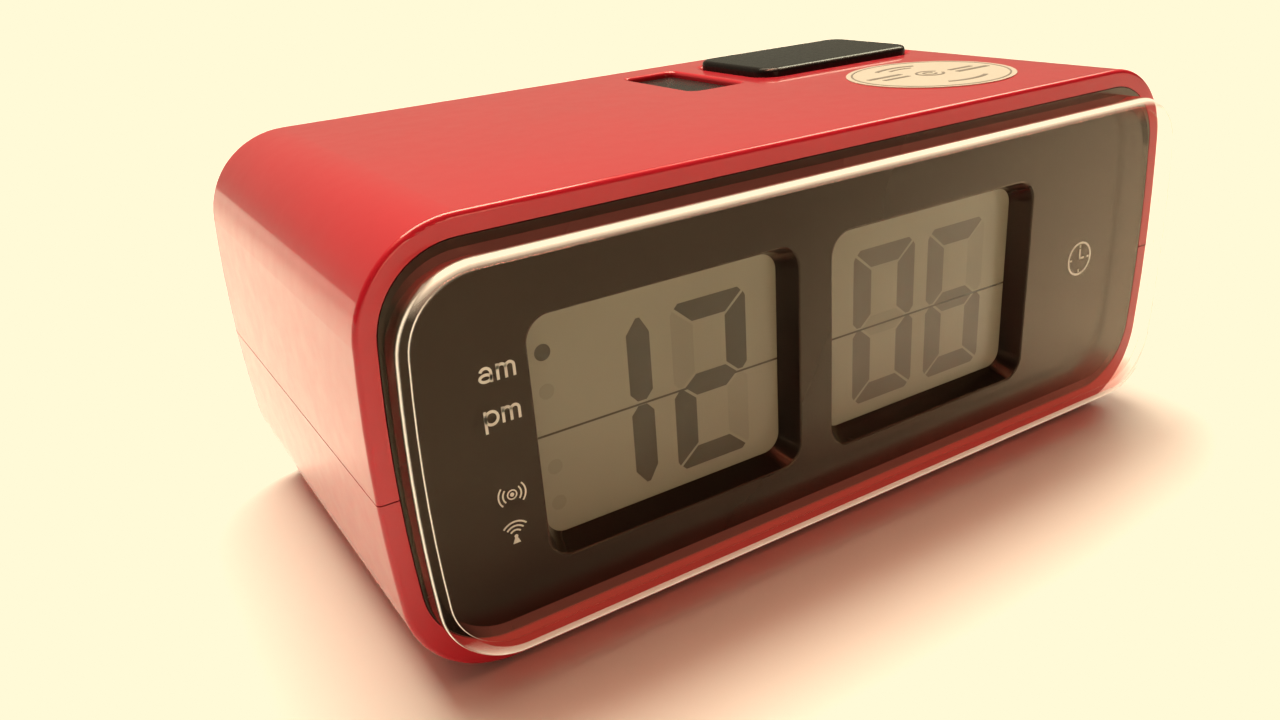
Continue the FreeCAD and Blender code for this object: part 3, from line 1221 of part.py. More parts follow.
def ribbon(label, middle, wide, points, bend):
    """A flat cable whose route lies in a plane square to x; it leaves its start along y."""
    half = number(wide) / 2
    rise = number("dims.ribbon_thick") / 2
    start = FreeCAD.Vector(number(middle), *points[0])
    corners = [start + FreeCAD.Vector(x, 0, z)
               for x, z in ((-half, -rise), (half, -rise), (half, rise), (-half, rise))]
    profile = Part.makePolygon([*corners, corners[0]])
    route = [(number(middle), y, z) for y, z in points]
    piece = doc.addObject("Part::Feature", label)
    piece.Shape = bent_path(route, number(bend)).makePipeShell([profile], True, False)
    settle(piece, label)


def wiring():
    """Ribbons, sockets and leads."""
    board_face = number(f"{FRAME_REAR} + dims.board_thick")
    out = number("dims.socket_deep")
    half_socket = number("dims.socket_tall") / 2
    low = 46.0
    under = number("dims.main_board_level")
    front = number("dims.main_board_front") + 2
    ribbon("display_ribbon", "dims.ribbon_x", "dims.ribbon_wide",
           [(board_face + out, low + half_socket), (board_face + out + 13, low + half_socket),
            (front - 11, under - half_socket), (front, under - half_socket)], "dims.ribbon_bend")
    sockets = [block(f"{name}_socket", "dims.socket_wide", "dims.socket_deep", "dims.socket_tall",
                     "dims.ribbon_x - dims.socket_wide / 2", y, z)
               for name, y, z in (("board", str(board_face), str(low)),
                                  ("main", str(front), "dims.main_board_level - dims.socket_tall"))]
    group("ribbon_sockets", sockets)

    rear_face = number(f"{REAR_BOARD_FACE} - dims.board_thick")
    ribbon("board_link", "dims.link_x", "dims.link_wide",
           [(rear_face, 50.0), (rear_face - 8, 50.0), (rear_face - 8, under)], "dims.link_bend")

    depth = number(CELL_DEPTH)
    half_thick = number("dims.contact_thick") / 2
    routes = []
    for tail, level in (("dims.low_tail", LOW_CELL), ("dims.high_tail", HIGH_CELL)):
        x = number(f"{BOX_RIGHT} - dims.contact_thick + {tail} - dims.lead_size")
        routes.append([(x, depth, number(level) + half_thick), (x, depth, 45.0),
                       (x, depth - 8, 51.0), (x, depth - 8, under)])
    wires("battery_leads", routes, "dims.lead_size", "dims.lead_bend")

    coil_end = number("dims.rod_x + dims.coil_length / 2")
    beside = number("dims.rod_deep") + 4.6
    level = number("dims.rod_level")
    wires("antenna_leads",
          [[(coil_end, beside, level + shift), (coil_end + 4.5, beside, level + shift),
            (coil_end + 7, beside + 6, level + shift), (3.0, 59.0 + shift, level + shift),
            (3.0, 59.0 + shift, under)] for shift in (-0.8, 0.8)],
          "dims.thin_lead", "dims.thin_bend")

    cup = number(f"{REAR_INNER} - dims.sounder_deep")
    wires("sounder_leads",
          [[(x, cup, 26.0), (x, cup - 5, 26.0), (x, cup - 5, 36.0), (x, rear_face, 36.0)]
           for x in (38.0, 42.0)], "dims.thin_lead", "dims.thin_bend")


def top_label():
    sticker = rod("label_blank", "dims.label_size", "dims.label_thick", "dims.label_x",
                  "dims.label_deep", "dims.body_tall", "z")
    group("top_label", [sticker])


upper_shell()
lower_shell()
rubber_feet()
screws("case_screws", [(x, y, "dims.column_sunk") for x, y in COLUMNS], TOP, "+",
       "dims.case_head", "dims.case_head_tall", "dims.case_shank", "dims.case_length")
face_plate()
clear_cover()
display_frame()
screws("plate_screws", [(x, "dims.window_deep + dims.frame_thick", z) for x, z in PLATE_SCREWS],
       FRONT, "-", "dims.small_head", "dims.small_head_tall", "dims.small_shank",
       "dims.frame_thick + dims.plate_thick / 2")
for window, centre in WINDOWS:
    display_stack(window, centre)
contact_strips()
backlight_leds()
display_board()
screws("display_board_screws", [(x, f"{FRAME_REAR} + dims.board_thick", z)
                                for x, z in DISPLAY_SCREWS],
       FRONT, "-", "dims.small_head", "dims.small_head_tall", "dims.small_shank",
       "dims.board_screw_length")
snooze_key()
light_key()
top_domes()
main_board()
board_parts()
screws("main_board_screws", [(x, y, "dims.main_board_level") for x, y in BOARD_POSTS], TOP, "+",
       "dims.small_head", "dims.small_head_tall", "dims.small_shank",
       "dims.board_screw_length")
rear_cover()
screws("rear_screws", [(x, f"{REAR_FACE} - dims.rear_screw_sunk", z) for x, z in REAR_SCREWS],
       FRONT, "-", "dims.case_head", "dims.case_head_tall", "dims.case_shank",
       "dims.rear_screw_length")
for key, centre in REAR_KEYS:
    rear_key(key, centre)
rear_board()
rear_domes()
screws("rear_board_screws", [(x, f"{REAR_BOARD_FACE} - dims.board_thick", z)
                             for x, z in REAR_POSTS],
       FRONT, "+", "dims.small_head", "dims.small_head_tall", "dims.small_shank",
       "dims.board_screw_length")
slide_switch()
sounder()
battery_box()
battery_door()
battery_cells()
contact_plates()
contact_springs()
antenna()
wiring()
top_label()
doc.recompute()

for item in doc.Objects:
    if "Invalid" in item.State or "Error" in item.State:
        raise ValueError(f"{item.Label} did not recompute: {item.State}")
for piece in pieces:
    if piece.Shape.isNull() or not piece.Shape.isValid():
        raise ValueError(f"{piece.Label} has no valid shape")

os.makedirs("parts", exist_ok=True)
for piece in pieces:
    piece.Shape.exportStep(f"parts/{piece.Label}.step")
    print(f"{piece.Label}: {len(piece.Shape.Solids)} solids, {piece.Shape.Volume:.1f} mm3")
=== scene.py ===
import json
import math
import bpy
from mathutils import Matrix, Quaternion, Vector


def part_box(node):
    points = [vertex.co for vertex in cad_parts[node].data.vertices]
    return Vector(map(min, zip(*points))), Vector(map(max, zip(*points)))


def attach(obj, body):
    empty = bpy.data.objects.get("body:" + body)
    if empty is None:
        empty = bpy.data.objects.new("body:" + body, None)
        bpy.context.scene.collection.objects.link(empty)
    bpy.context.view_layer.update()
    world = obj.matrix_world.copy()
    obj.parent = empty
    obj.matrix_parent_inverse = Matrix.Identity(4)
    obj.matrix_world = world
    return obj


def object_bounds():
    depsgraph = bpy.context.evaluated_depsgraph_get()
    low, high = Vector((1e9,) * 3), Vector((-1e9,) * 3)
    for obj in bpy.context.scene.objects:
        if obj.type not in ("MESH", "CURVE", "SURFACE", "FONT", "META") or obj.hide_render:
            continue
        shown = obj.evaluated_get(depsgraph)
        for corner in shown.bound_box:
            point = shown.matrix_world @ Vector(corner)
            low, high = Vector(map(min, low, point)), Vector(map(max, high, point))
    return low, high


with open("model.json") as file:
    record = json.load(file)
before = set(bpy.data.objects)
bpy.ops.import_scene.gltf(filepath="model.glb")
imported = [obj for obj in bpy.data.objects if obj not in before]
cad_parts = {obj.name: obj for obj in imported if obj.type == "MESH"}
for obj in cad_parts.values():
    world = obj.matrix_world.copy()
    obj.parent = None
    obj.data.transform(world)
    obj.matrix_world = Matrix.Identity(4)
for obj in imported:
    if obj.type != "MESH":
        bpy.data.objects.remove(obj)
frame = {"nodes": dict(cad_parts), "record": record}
cad_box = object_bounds()

MM = 0.001
NODES = frame["nodes"]
SLOT_OF = {part["node"]: part["material_slot"] for part in frame["record"]["subparts"]}
COLOUR_OF = {entry["slot"]: entry["base_color"][:3] for entry in frame["record"]["materials"]}

# ---------------------------------------------------------------- materials

ACRYLIC_IOR = 1.49
COAT_ROUGHNESS = 0.07


def shader(name):
    """An empty node material with its principled shader and output."""
    material = bpy.data.materials.new(name)
    material.use_nodes = True
    tree = material.node_tree
    return material, tree, tree.nodes["Principled BSDF"]


def noise(tree, scale, detail=4.0, stretch=(1.0, 1.0, 1.0)):
    """A noise texture in the object's own metres; scale is the number of features per metre."""
    place = tree.nodes.new("ShaderNodeTexCoord")
    mapping = tree.nodes.new("ShaderNodeMapping")
    mapping.inputs["Scale"].default_value = stretch
    texture = tree.nodes.new("ShaderNodeTexNoise")
    texture.inputs["Scale"].default_value = scale
    texture.inputs["Detail"].default_value = detail
    tree.links.new(place.outputs["Object"], mapping.inputs["Vector"])
    tree.links.new(mapping.outputs["Vector"], texture.inputs["Vector"])
    return texture.outputs["Fac"]


def spread(tree, value, low, high):
    """A value between low and high that follows a texture."""
    ramp = tree.nodes.new("ShaderNodeMapRange")
    ramp.inputs["From Min"].default_value = 0.3
    ramp.inputs["From Max"].default_value = 0.7
    ramp.inputs["To Min"].default_value = low
    ramp.inputs["To Max"].default_value = high
    tree.links.new(value, ramp.inputs["Value"])
    return ramp.outputs["Result"]


def blend_colours(tree, factor, first, second):
    """A colour that follows a texture from the first colour to the second."""
    mix = tree.nodes.new("ShaderNodeMix")
    mix.data_type = "RGBA"
    mix.inputs["A"].default_value = (*first, 1.0)
    mix.inputs["B"].default_value = (*second, 1.0)
    tree.links.new(factor, mix.inputs["Factor"])
    return mix.outputs["Result"]


def bump(tree, height, depth):
    """A bump of the given depth in metres."""
    node = tree.nodes.new("ShaderNodeBump")
    node.inputs["Distance"].default_value = depth
    node.inputs["Strength"].default_value = 1.0
    tree.links.new(height, node.inputs["Height"])
    return node.outputs["Normal"]


def surface(name, colour, vary=0.12, rough=(0.3, 0.4), metal=0.0, ior=1.5, grain=900.0,
            depth=0.00002, stretch=(1.0, 1.0, 1.0), patches=60.0, gloss=0.5,
            tint=(1.0, 1.0, 1.0), coat=0.0):
    """A solid surface: slow patches in its colour, fine grain in its roughness and relief.

    gloss and tint are the level and colour of its shine, and coat is the share of a clear lacquer.
    """
    material, tree, principled = shader(name)
    slow = noise(tree, patches, 2.0, stretch)
    fine = noise(tree, grain, 5.0, stretch)
    darker = [channel * (1 - vary) for channel in colour]
    lighter = [min(1.0, channel * (1 + vary)) for channel in colour]
    tree.links.new(blend_colours(tree, slow, darker, lighter), principled.inputs["Base Color"])
    tree.links.new(spread(tree, fine, *rough), principled.inputs["Roughness"])
    tree.links.new(bump(tree, fine, depth), principled.inputs["Normal"])
    principled.inputs["Metallic"].default_value = metal
    principled.inputs["IOR"].default_value = ior
    principled.inputs["Specular IOR Level"].default_value = gloss
    principled.inputs["Specular Tint"].default_value = (*tint, 1.0)
    principled.inputs["Coat Weight"].default_value = coat
    principled.inputs["Coat Roughness"].default_value = COAT_ROUGHNESS
    return material


def maths(tree, operation, first, second=0.0):
    """A maths node; each operand is a socket or a number."""
    node = tree.nodes.new("ShaderNodeMath")
    node.operation = operation
    for socket, operand in zip(node.inputs, (first, second)):
        if isinstance(operand, (int, float)):
            socket.default_value = operand
        else:
            tree.links.new(operand, socket)
    return node.outputs["Value"]


def mix_shaders(tree, factor, first, second):
    """The first shader where the factor is nothing, the second where it is one."""
    mix = tree.nodes.new("ShaderNodeMixShader")
    tree.links.new(factor, mix.inputs["Fac"])
    tree.links.new(first, mix.inputs[1])
    tree.links.new(second, mix.inputs[2])
    return mix.outputs["Shader"]


def band(tree, value, middle, half_width):
    """One at the middle value, falling to nothing half a width away on both sides."""
    away = maths(tree, "ABSOLUTE", maths(tree, "SUBTRACT", value, middle))
    level = maths(tree, "SUBTRACT", 1.0, maths(tree, "DIVIDE", away, half_width))
    return maths(tree, "MAXIMUM", level, 0.0)


def normal_parts(tree):
    """The surface normal's X, Y and Z, and one where the surface is seen from behind."""
    geometry = tree.nodes.new("ShaderNodeNewGeometry")
    parts = tree.nodes.new("ShaderNodeSeparateXYZ")
    tree.links.new(geometry.outputs["Normal"], parts.inputs["Vector"])
    return parts.outputs, geometry.outputs["Backfacing"]


CLEAR = (0.98, 0.98, 0.97)
# Painted red light: the colour that the cover's walls above and below let through.
CLEAR_PAINTED_RED = (0.97, 0.62, 0.6)
# Painted warm reflection: the colour of the cover's gloss.
PAINTED_WARM_SHINE = (1.0, 0.8, 0.7)
# Painted red reflection: the gloss colour of those walls.
PAINTED_RED_SHINE = (1.0, 0.35, 0.35)
# Painted red glow of those walls; they are no lamp.
PAINTED_RED_GLOW = (0.09, 0.024, 0.02)
SQUARE_LOOK = 0.1
# Painted sheen: extra gloss on those walls, whatever the look.
WALL_SHINE = 0.2
# Painted highlight: the glow and the share of the pale lines on the cover's rounded edges.
HIGHLIGHT_GLOW = 0.5
HIGHLIGHT_SHARE = 0.9


def cover_walls(tree, side, wall):
    """Thin clear faces that shine on slanted looks; the walls above and below carry painted red
    light, a painted red reflection and a painted red glow.
    """
    wave = noise(tree, 25.0, 2.0)
    # Painted red light: the walls above and below let light through tinted red.
    through = tree.nodes.new("ShaderNodeBsdfTransparent")
    tree.links.new(blend_colours(tree, wall, CLEAR, CLEAR_PAINTED_RED), through.inputs["Color"])
    # Painted reflection colour: warm on the cover, red on the walls above and below.
    gloss = tree.nodes.new("ShaderNodeBsdfGlossy")
    tree.links.new(blend_colours(tree, wall, PAINTED_WARM_SHINE, PAINTED_RED_SHINE), gloss.inputs["Color"])
    tree.links.new(spread(tree, wave, 0.02, 0.05), gloss.inputs["Roughness"])
    tree.links.new(bump(tree, wave, 0.00003), gloss.inputs["Normal"])
    # The same gloss from both sides of a face, on slanted looks only, with no total reflection.
    fresnel = tree.nodes.new("ShaderNodeFresnel")
    tree.links.new(maths(tree, "POWER", ACRYLIC_IOR, side), fresnel.inputs["IOR"])
    rest = maths(tree, "SUBTRACT", fresnel.outputs["Fac"], SQUARE_LOOK)
    slanted = maths(tree, "MAXIMUM", rest, 0.0)
    # Painted sheen: the walls above and below get extra gloss on any look.
    shine = maths(tree, "ADD", slanted, maths(tree, "MULTIPLY", wall, WALL_SHINE))
    faces = mix_shaders(tree, shine, through.outputs["BSDF"], gloss.outputs["BSDF"])
    # Painted light: the walls above and below glow faintly red, standing in for light from the red
    # housing around them.
    red_glow = tree.nodes.new("ShaderNodeEmission")
    red_glow.inputs["Color"].default_value = (*PAINTED_RED_GLOW, 1.0)
    tree.links.new(wall, red_glow.inputs["Strength"])
    glowing = tree.nodes.new("ShaderNodeAddShader")
    tree.links.new(faces, glowing.inputs[0])
    tree.links.new(red_glow.outputs["Emission"], glowing.inputs[1])
    return glowing.outputs["Shader"], gloss.outputs["BSDF"]


def painted_edge_highlight(tree):
    """Painted highlight: a pale, faintly mottled colour that glows, standing in for the light the
    cover's rounded edges catch; it is no lamp.
    """
    highlight_mottle = noise(tree, 700.0, 8.0)
    highlight = tree.nodes.new("ShaderNodeBsdfPrincipled")
    tree.links.new(blend_colours(tree, highlight_mottle, (0.86, 0.84, 0.82), (0.94, 0.93, 0.91)),
                   highlight.inputs["Base Color"])
    highlight.inputs["Roughness"].default_value = 0.25
    highlight.inputs["Emission Color"].default_value = (1.0, 0.95, 0.92, 1.0)
    highlight.inputs["Emission Strength"].default_value = HIGHLIGHT_GLOW
    return highlight.outputs["BSDF"]


def clear_plastic(name):
    """Thin clear acrylic: gloss on its faces, and painted highlights with a glow on its rounded
    edges.
    """
    material, tree, principled = shader(name)
    tree.nodes.remove(principled)
    normal, behind = normal_parts(tree)
    # side is one for a look from outside the plastic and minus one from inside it, so that lean
    # and under speak of the outward normal: lean is -1 on the front face, 0 on the walls and
    # positive inside the hollow, and under is one where the surface faces down.
    side = maths(tree, "SUBTRACT", 1.0, maths(tree, "MULTIPLY", behind, 2.0))
    lean = maths(tree, "MULTIPLY", normal["Y"], side)
    under = maths(tree, "LESS_THAN", maths(tree, "MULTIPLY", normal["Z"], side), 0.0)
    # level is one on the walls above and below, upright is one on those at the sides.
    square = maths(tree, "MULTIPLY", lean, lean)
    across = maths(tree, "SQRT", maths(tree, "SUBTRACT", 1.001, square))
    lift = maths(tree, "DIVIDE", maths(tree, "ABSOLUTE", normal["Z"]), across)
    level = spread(tree, maths(tree, "SUBTRACT", lift, 0.25), 0.0, 1.0)
    upright = maths(tree, "SUBTRACT", 1.0, level)
    wall = maths(tree, "MULTIPLY", band(tree, lean, 0.0, 0.5), level)
    faces, gloss = cover_walls(tree, side, wall)

    # Painted sheen: the outer rounded edges above and below take extra gloss beyond what their
    # slant gives.
    edge_sheen = maths(tree, "MULTIPLY", band(tree, lean, -0.6, 0.36),
                     maths(tree, "MULTIPLY", level, 0.14))
    edge = mix_shaders(tree, edge_sheen, faces, gloss)

    # Painted highlights on the rounded edges: a broad line above and below, two thin ones at the
    # sides.
    forward = maths(tree, "ADD", lean, maths(tree, "MULTIPLY", under, 0.24))
    broad = maths(tree, "MULTIPLY", band(tree, forward, -0.5, 0.4), level)
    thin = maths(tree, "MAXIMUM", band(tree, lean, -0.35, 0.16), band(tree, lean, 0.5, 0.22))
    highlight_lines = maths(tree, "MAXIMUM", broad, maths(tree, "MULTIPLY", thin, upright))
    shown = mix_shaders(tree, maths(tree, "MULTIPLY", highlight_lines, HIGHLIGHT_SHARE), edge, painted_edge_highlight(tree))
    tree.links.new(shown, tree.nodes["Material Output"].inputs["Surface"])
    return material


# Painted reflection of the clear cover on the parts behind it: where it starts, how fast it grows,
# and its most.
SHEEN_START = 0.045
SHEEN_GAIN = 28.0
SHEEN_MOST = 1.2
BEHIND_GLOSS = 0.5
PLATE_GLOSS = 0.32
KEY_GLOSS = 0.1
# Painted highlights: the gloss gain on rounded edges that face up and to the front.
EDGE_HIGHLIGHT_GAIN = 8.0


def painted_cover_sheen(material, flat_gloss):
    """Painted reflection: the clear cover's sheen, given to the parts behind it as gloss that grows
    the more slanted the look.
    """
    tree = material.node_tree
    fresnel = tree.nodes.new("ShaderNodeFresnel")
    fresnel.inputs["IOR"].default_value = ACRYLIC_IOR
    slant = maths(tree, "SUBTRACT", fresnel.outputs["Fac"], SHEEN_START)
    rise = maths(tree, "MULTIPLY", slant, SHEEN_GAIN)
    sheen = maths(tree, "MINIMUM", maths(tree, "MAXIMUM", rise, 0.0), SHEEN_MOST)
    gloss = maths(tree, "ADD", sheen, flat_gloss)
    tree.links.new(gloss, tree.nodes["Principled BSDF"].inputs["Specular IOR Level"])
    return gloss


def paint_edge_highlights(material, gloss):
    """Painted highlights: the rounded edges that face up and to the front get many times the gloss
    of the flat faces.
    """
    tree = material.node_tree
    normal, _ = normal_parts(tree)
    edge = maths(tree, "MULTIPLY", band(tree, normal["Z"], 0.65, 0.3),
                 band(tree, normal["Y"], -0.75, 0.25))
    tree.links.new(maths(tree, "ADD", maths(tree, "MULTIPLY", edge, EDGE_HIGHLIGHT_GAIN), gloss),
                   tree.nodes["Principled BSDF"].inputs["Specular IOR Level"])


def board_laminate(name, colour):
    """Green solder mask with a faint grid of tracks under it."""
    material, tree, principled = shader(name)
    place = tree.nodes.new("ShaderNodeTexCoord")
    tracks = tree.nodes.new("ShaderNodeTexBrick")
    tracks.inputs["Scale"].default_value = 220.0
    tracks.inputs["Mortar Size"].default_value = 0.012
    tracks.inputs["Color1"].default_value = (*colour, 1.0)
    tracks.inputs["Color2"].default_value = (*[channel * 0.85 for channel in colour], 1.0)
    tracks.inputs["Mortar"].default_value = (*[channel * 1.8 for channel in colour], 1.0)
    tree.links.new(place.outputs["Object"], tracks.inputs["Vector"])
    tree.links.new(tracks.outputs["Color"], principled.inputs["Base Color"])
    tree.links.new(spread(tree, noise(tree, 800.0), 0.3, 0.45), principled.inputs["Roughness"])
    tree.links.new(bump(tree, tracks.outputs["Fac"], 0.00003), principled.inputs["Normal"])
    return material


def turned_metal(name, colour, rough):
    """Metal with fine lines from turning or drawing."""
    return surface(name, colour, 0.1, rough, metal=1.0, grain=1500.0, depth=0.00001,
                   stretch=(1.0, 1.0, 6.0))


FINISHES = {
    "red_plastic": dict(vary=0.03, rough=(0.29, 0.34), grain=260.0, depth=0.000003, gloss=0.15,
                        coat=0.8),
    "black_key_plastic": dict(vary=0.2, rough=(0.22, 0.3), grain=900.0, depth=0.000004),
    # The plate's warm shine tint is a painted warm reflection.
    "plate_plastic": dict(vary=0.1, rough=(0.16, 0.22), grain=900.0, depth=0.0000003,
                          tint=(1.0, 0.8, 0.6)),
    "rear_plastic": dict(vary=0.12, rough=(0.45, 0.6), grain=2200.0, depth=0.00006),
    "rear_key_plastic": dict(vary=0.08, rough=(0.4, 0.55), grain=2200.0, depth=0.00004),
    "black_plastic": dict(vary=0.2, rough=(0.4, 0.55), grain=1800.0, depth=0.00004),
    "foot_rubber": dict(vary=0.25, rough=(0.75, 0.9), grain=2600.0, depth=0.00006),
    "grey_rubber": dict(vary=0.12, rough=(0.6, 0.8), grain=2000.0, depth=0.00004),
    "reflector_film": dict(vary=0.08, rough=(0.3, 0.4), grain=1800.0),
    "guide_acrylic": dict(vary=0.03, rough=(0.08, 0.15), grain=600.0, depth=0.00001),
    "diode_resin": dict(vary=0.1, rough=(0.15, 0.25)),
    "chip_resin": dict(vary=0.2, rough=(0.4, 0.5), grain=3000.0),
    "cell_wrapper": dict(vary=0.2, rough=(0.2, 0.3), grain=500.0, depth=0.00001),
    "ferrite": dict(vary=0.2, rough=(0.5, 0.65), grain=3000.0, depth=0.00004),
    "copper_winding": dict(vary=0.15, rough=(0.25, 0.35), metal=0.8, grain=1200.0,
                           depth=0.00008, stretch=(6.0, 0.3, 0.3)),
    "ribbon_plastic": dict(vary=0.15, rough=(0.4, 0.5), grain=900.0, stretch=(4.0, 0.2, 0.2)),
    "socket_plastic": dict(vary=0.08, rough=(0.4, 0.5)),
    "lead_plastic": dict(vary=0.1, rough=(0.35, 0.45)),
    "label_film": dict(vary=0.04, rough=(0.35, 0.45), grain=1500.0, depth=0.000005),
}
METALS = {
    "zinc_steel": (0.28, 0.4),
    "can_metal": (0.25, 0.35),
    "brass_disc": (0.25, 0.4),
    "nickel_plate": (0.18, 0.3),
}


def display_glass(name):
    """A reflective liquid crystal display: a grey-green ground with slow, faint patches."""
    material, tree, principled = shader(name)
    ground = noise(tree, 18.0, 2.0)
    grain = noise(tree, 1200.0, 2.0)
    tree.links.new(blend_colours(tree, ground, (0.215, 0.205, 0.148), (0.25, 0.245, 0.18)),
                   principled.inputs["Base Color"])
    tree.links.new(spread(tree, grain, 0.24, 0.27), principled.inputs["Roughness"])
    tree.links.new(bump(tree, ground, 0.00001), principled.inputs["Normal"])
    # Painted reflection: the clear cover's sheen, given to the display behind it.
    painted_cover_sheen(material, BEHIND_GLOSS)
    return material


SURFACES = {name: surface(name, COLOUR_OF[name], **how) for name, how in FINISHES.items()}
SURFACES.update({name: turned_metal(name, COLOUR_OF[name], rough)
                 for name, rough in METALS.items()})
SURFACES["board_laminate"] = board_laminate("board_laminate", COLOUR_OF["board_laminate"])
SURFACES["clear_plastic"] = clear_plastic("clear_plastic")
# Painted highlights on the plate's and the keys' rounded edges that face up and to the front.
# Painted reflection: the clear cover's sheen, given to the plate behind it.
paint_edge_highlights(SURFACES["plate_plastic"], painted_cover_sheen(SURFACES["plate_plastic"], PLATE_GLOSS))
paint_edge_highlights(SURFACES["black_key_plastic"], KEY_GLOSS)
SURFACES["display_glass"] = display_glass("display_glass")

for node_name, node in NODES.items():
    node.data.materials.clear()
    node.data.materials.append(SURFACES[SLOT_OF[node_name]])

PRINT_WHITE = surface("pale_print", (0.72, 0.74, 0.7), 0.1, (0.4, 0.5), grain=2500.0,
                      depth=0.000004)


def display_ink(name, colour, vary):
    """The smooth dark or faint parts of a display."""
    ink = surface(name, colour, vary, (0.26, 0.27), depth=0.0)
    # Painted reflection: the clear cover's sheen, given to the display's print.
    painted_cover_sheen(ink, BEHIND_GLOSS)
    return ink


DIGIT_DARK = display_ink("digit_dark", (0.045, 0.037, 0.017), 0.06)
DIGIT_FAINT = display_ink("digit_faint", (0.097, 0.084, 0.056), 0.06)
GROUND_FAINT = display_ink("ground_faint", (0.2, 0.19, 0.136), 0.05)
LABEL_INK = surface("label_ink", (0.17, 0.15, 0.13), 0.2, (0.4, 0.5), grain=2500.0,
                    depth=0.000004)

# ---------------------------------------------------------------- thin printed shapes


def prism_mesh(outlines, near, far, place):
    """Closed thin plates: each outline is a list of points, and place puts a point at a level."""
    vertices = []
    faces = []
    for outline in outlines:
        start = len(vertices)
        count = len(outline)
        vertices += [place(u, v, near) for u, v in outline]
        vertices += [place(u, v, far) for u, v in outline]
        faces.append([start + i for i in range(count)])
        faces.append([start + count + i for i in reversed(range(count))])
        for i in range(count):
            j = (i + 1) % count
            faces.append([start + j, start + i, start + count + i, start + count + j])
    return vertices, faces


def printed(name, outlines, near, far, place, material, body="housing"):
    """A thin printed piece that moves with a body."""
    vertices, faces = prism_mesh(outlines, near, far, place)
    mesh = bpy.data.meshes.new(name)
    mesh.from_pydata(vertices, [], faces)
    mesh.validate()
    mesh.materials.append(material)
    piece = bpy.data.objects.new(name, mesh)
    bpy.context.scene.collection.objects.link(piece)
    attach(piece, body)
    return piece


def on_front(x0, z0):
    """Places printed points on a vertical face: u to the right, v upwards, in millimetres."""
    return lambda u, v, level: (x0 + u * MM, level, z0 + v * MM)


def on_top(x0, y0):
    """Places printed points on a level face: u to the right, v backwards, in millimetres."""
    return lambda u, v, level: (x0 + u * MM, y0 + v * MM, level)


def bar(u, v, width, tall):
    """An upright rectangle given by its lower left corner."""
    return [(u, v), (u + width, v), (u + width, v + tall), (u, v + tall)]


def arc_band(centre_u, centre_v, radius, width, start, end, steps=24):
    """A band of constant width along an arc, between two angles in degrees."""
    inner = radius - width / 2
    outer = radius + width / 2
    angles = [math.radians(start + (end - start) * i / steps) for i in range(steps + 1)]
    rim = [(centre_u + outer * math.cos(a), centre_v + outer * math.sin(a)) for a in angles]
    core = [(centre_u + inner * math.cos(a), centre_v + inner * math.sin(a))
            for a in reversed(angles)]
    return rim + core


def oval_band(centre_u, centre_v, half_wide, half_tall, width):
    """A closed oval line, squeezed from a round one."""
    ring = arc_band(0, 0, 1.0, 0.0, 0, 359.5, 36)
    half_count = len(ring) // 2
    rim = [(centre_u + (half_wide + width / 2) * u, centre_v + (half_tall + width / 2) * v)
           for u, v in ring[:half_count]]
    core = [(centre_u + (half_wide - width / 2) * u, centre_v + (half_tall - width / 2) * v)
            for u, v in ring[half_count:]]
    return rim + core


def dot(centre_u, centre_v, radius, steps=28):
    """A filled circle."""
    return [(centre_u + radius * math.cos(2 * math.pi * i / steps),
             centre_v + radius * math.sin(2 * math.pi * i / steps)) for i in range(steps)]


def stroke(start, end, width):
    """A straight band between two points."""
    along = Vector((end[0] - start[0], end[1] - start[1])).normalized()
    side = Vector((-along.y, along.x)) * (width / 2)
    return [(start[0] - side.x, start[1] - side.y), (end[0] - side.x, end[1] - side.y),
            (end[0] + side.x, end[1] + side.y), (start[0] + side.x, start[1] + side.y)]


INK = 0.05 * MM
plate_low, plate_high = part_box("face_plate")
plate_mid = (plate_low + plate_high) / 2
plate_face = plate_low.y


def print_on_plate(name, outlines, u, v):
    """Pale print on the front plate, centred u and v millimetres from the plate's centre."""
    place = on_front(plate_mid.x + u * MM, plate_mid.z + v * MM)
    return printed(name, outlines, plate_face - INK, plate_face, place, PRINT_WHITE)


LETTER_LINE = 0.42
LETTER_TALL = 2.4


def letter_a(u, v):
    """A two-storey a, from the baseline at v, centred on u."""
    half = LETTER_LINE / 2
    hook = 0.8
    shoulder = v + LETTER_TALL - half - hook
    return [bar(u + hook - half, v, LETTER_LINE, shoulder - v),
            arc_band(u, shoulder, hook, LETTER_LINE, 0, 158),
            oval_band(u - 0.06, v + 0.72, hook + 0.04, 0.72 - half, LETTER_LINE)]


def letter_m(u, v):
    """A stem and two arches, from the baseline at v; u is at the stem."""
    arch = 0.62
    half = LETTER_LINE / 2
    rise = LETTER_TALL - half - arch
    shapes = [bar(u - half, v, LETTER_LINE, LETTER_TALL)]
    for index in range(2):
        centre = u + arch + index * 2 * arch
        shapes.append(arc_band(centre, v + rise, arch, LETTER_LINE, 0, 180))
        shapes.append(bar(centre + arch - half, v, LETTER_LINE, rise))
    return shapes


def letter_p(u, v):
    """A stem that goes below the baseline at v, and a bowl; u is at the stem."""
    half = LETTER_LINE / 2
    bowl = LETTER_TALL / 2 - half
    return [bar(u - half, v - 1.0, LETTER_LINE, LETTER_TALL + 1.0),
            oval_band(u + 0.95, v + LETTER_TALL / 2, 0.95, bowl, LETTER_LINE)]


def am_mark():
    """The letters am, centred."""
    return letter_a(-1.7, -LETTER_TALL / 2) + letter_m(0.1, -LETTER_TALL / 2)


def pm_mark():
    """The letters pm, centred."""
    return letter_p(-2.6, -LETTER_TALL / 2) + letter_m(0.1, -LETTER_TALL / 2)


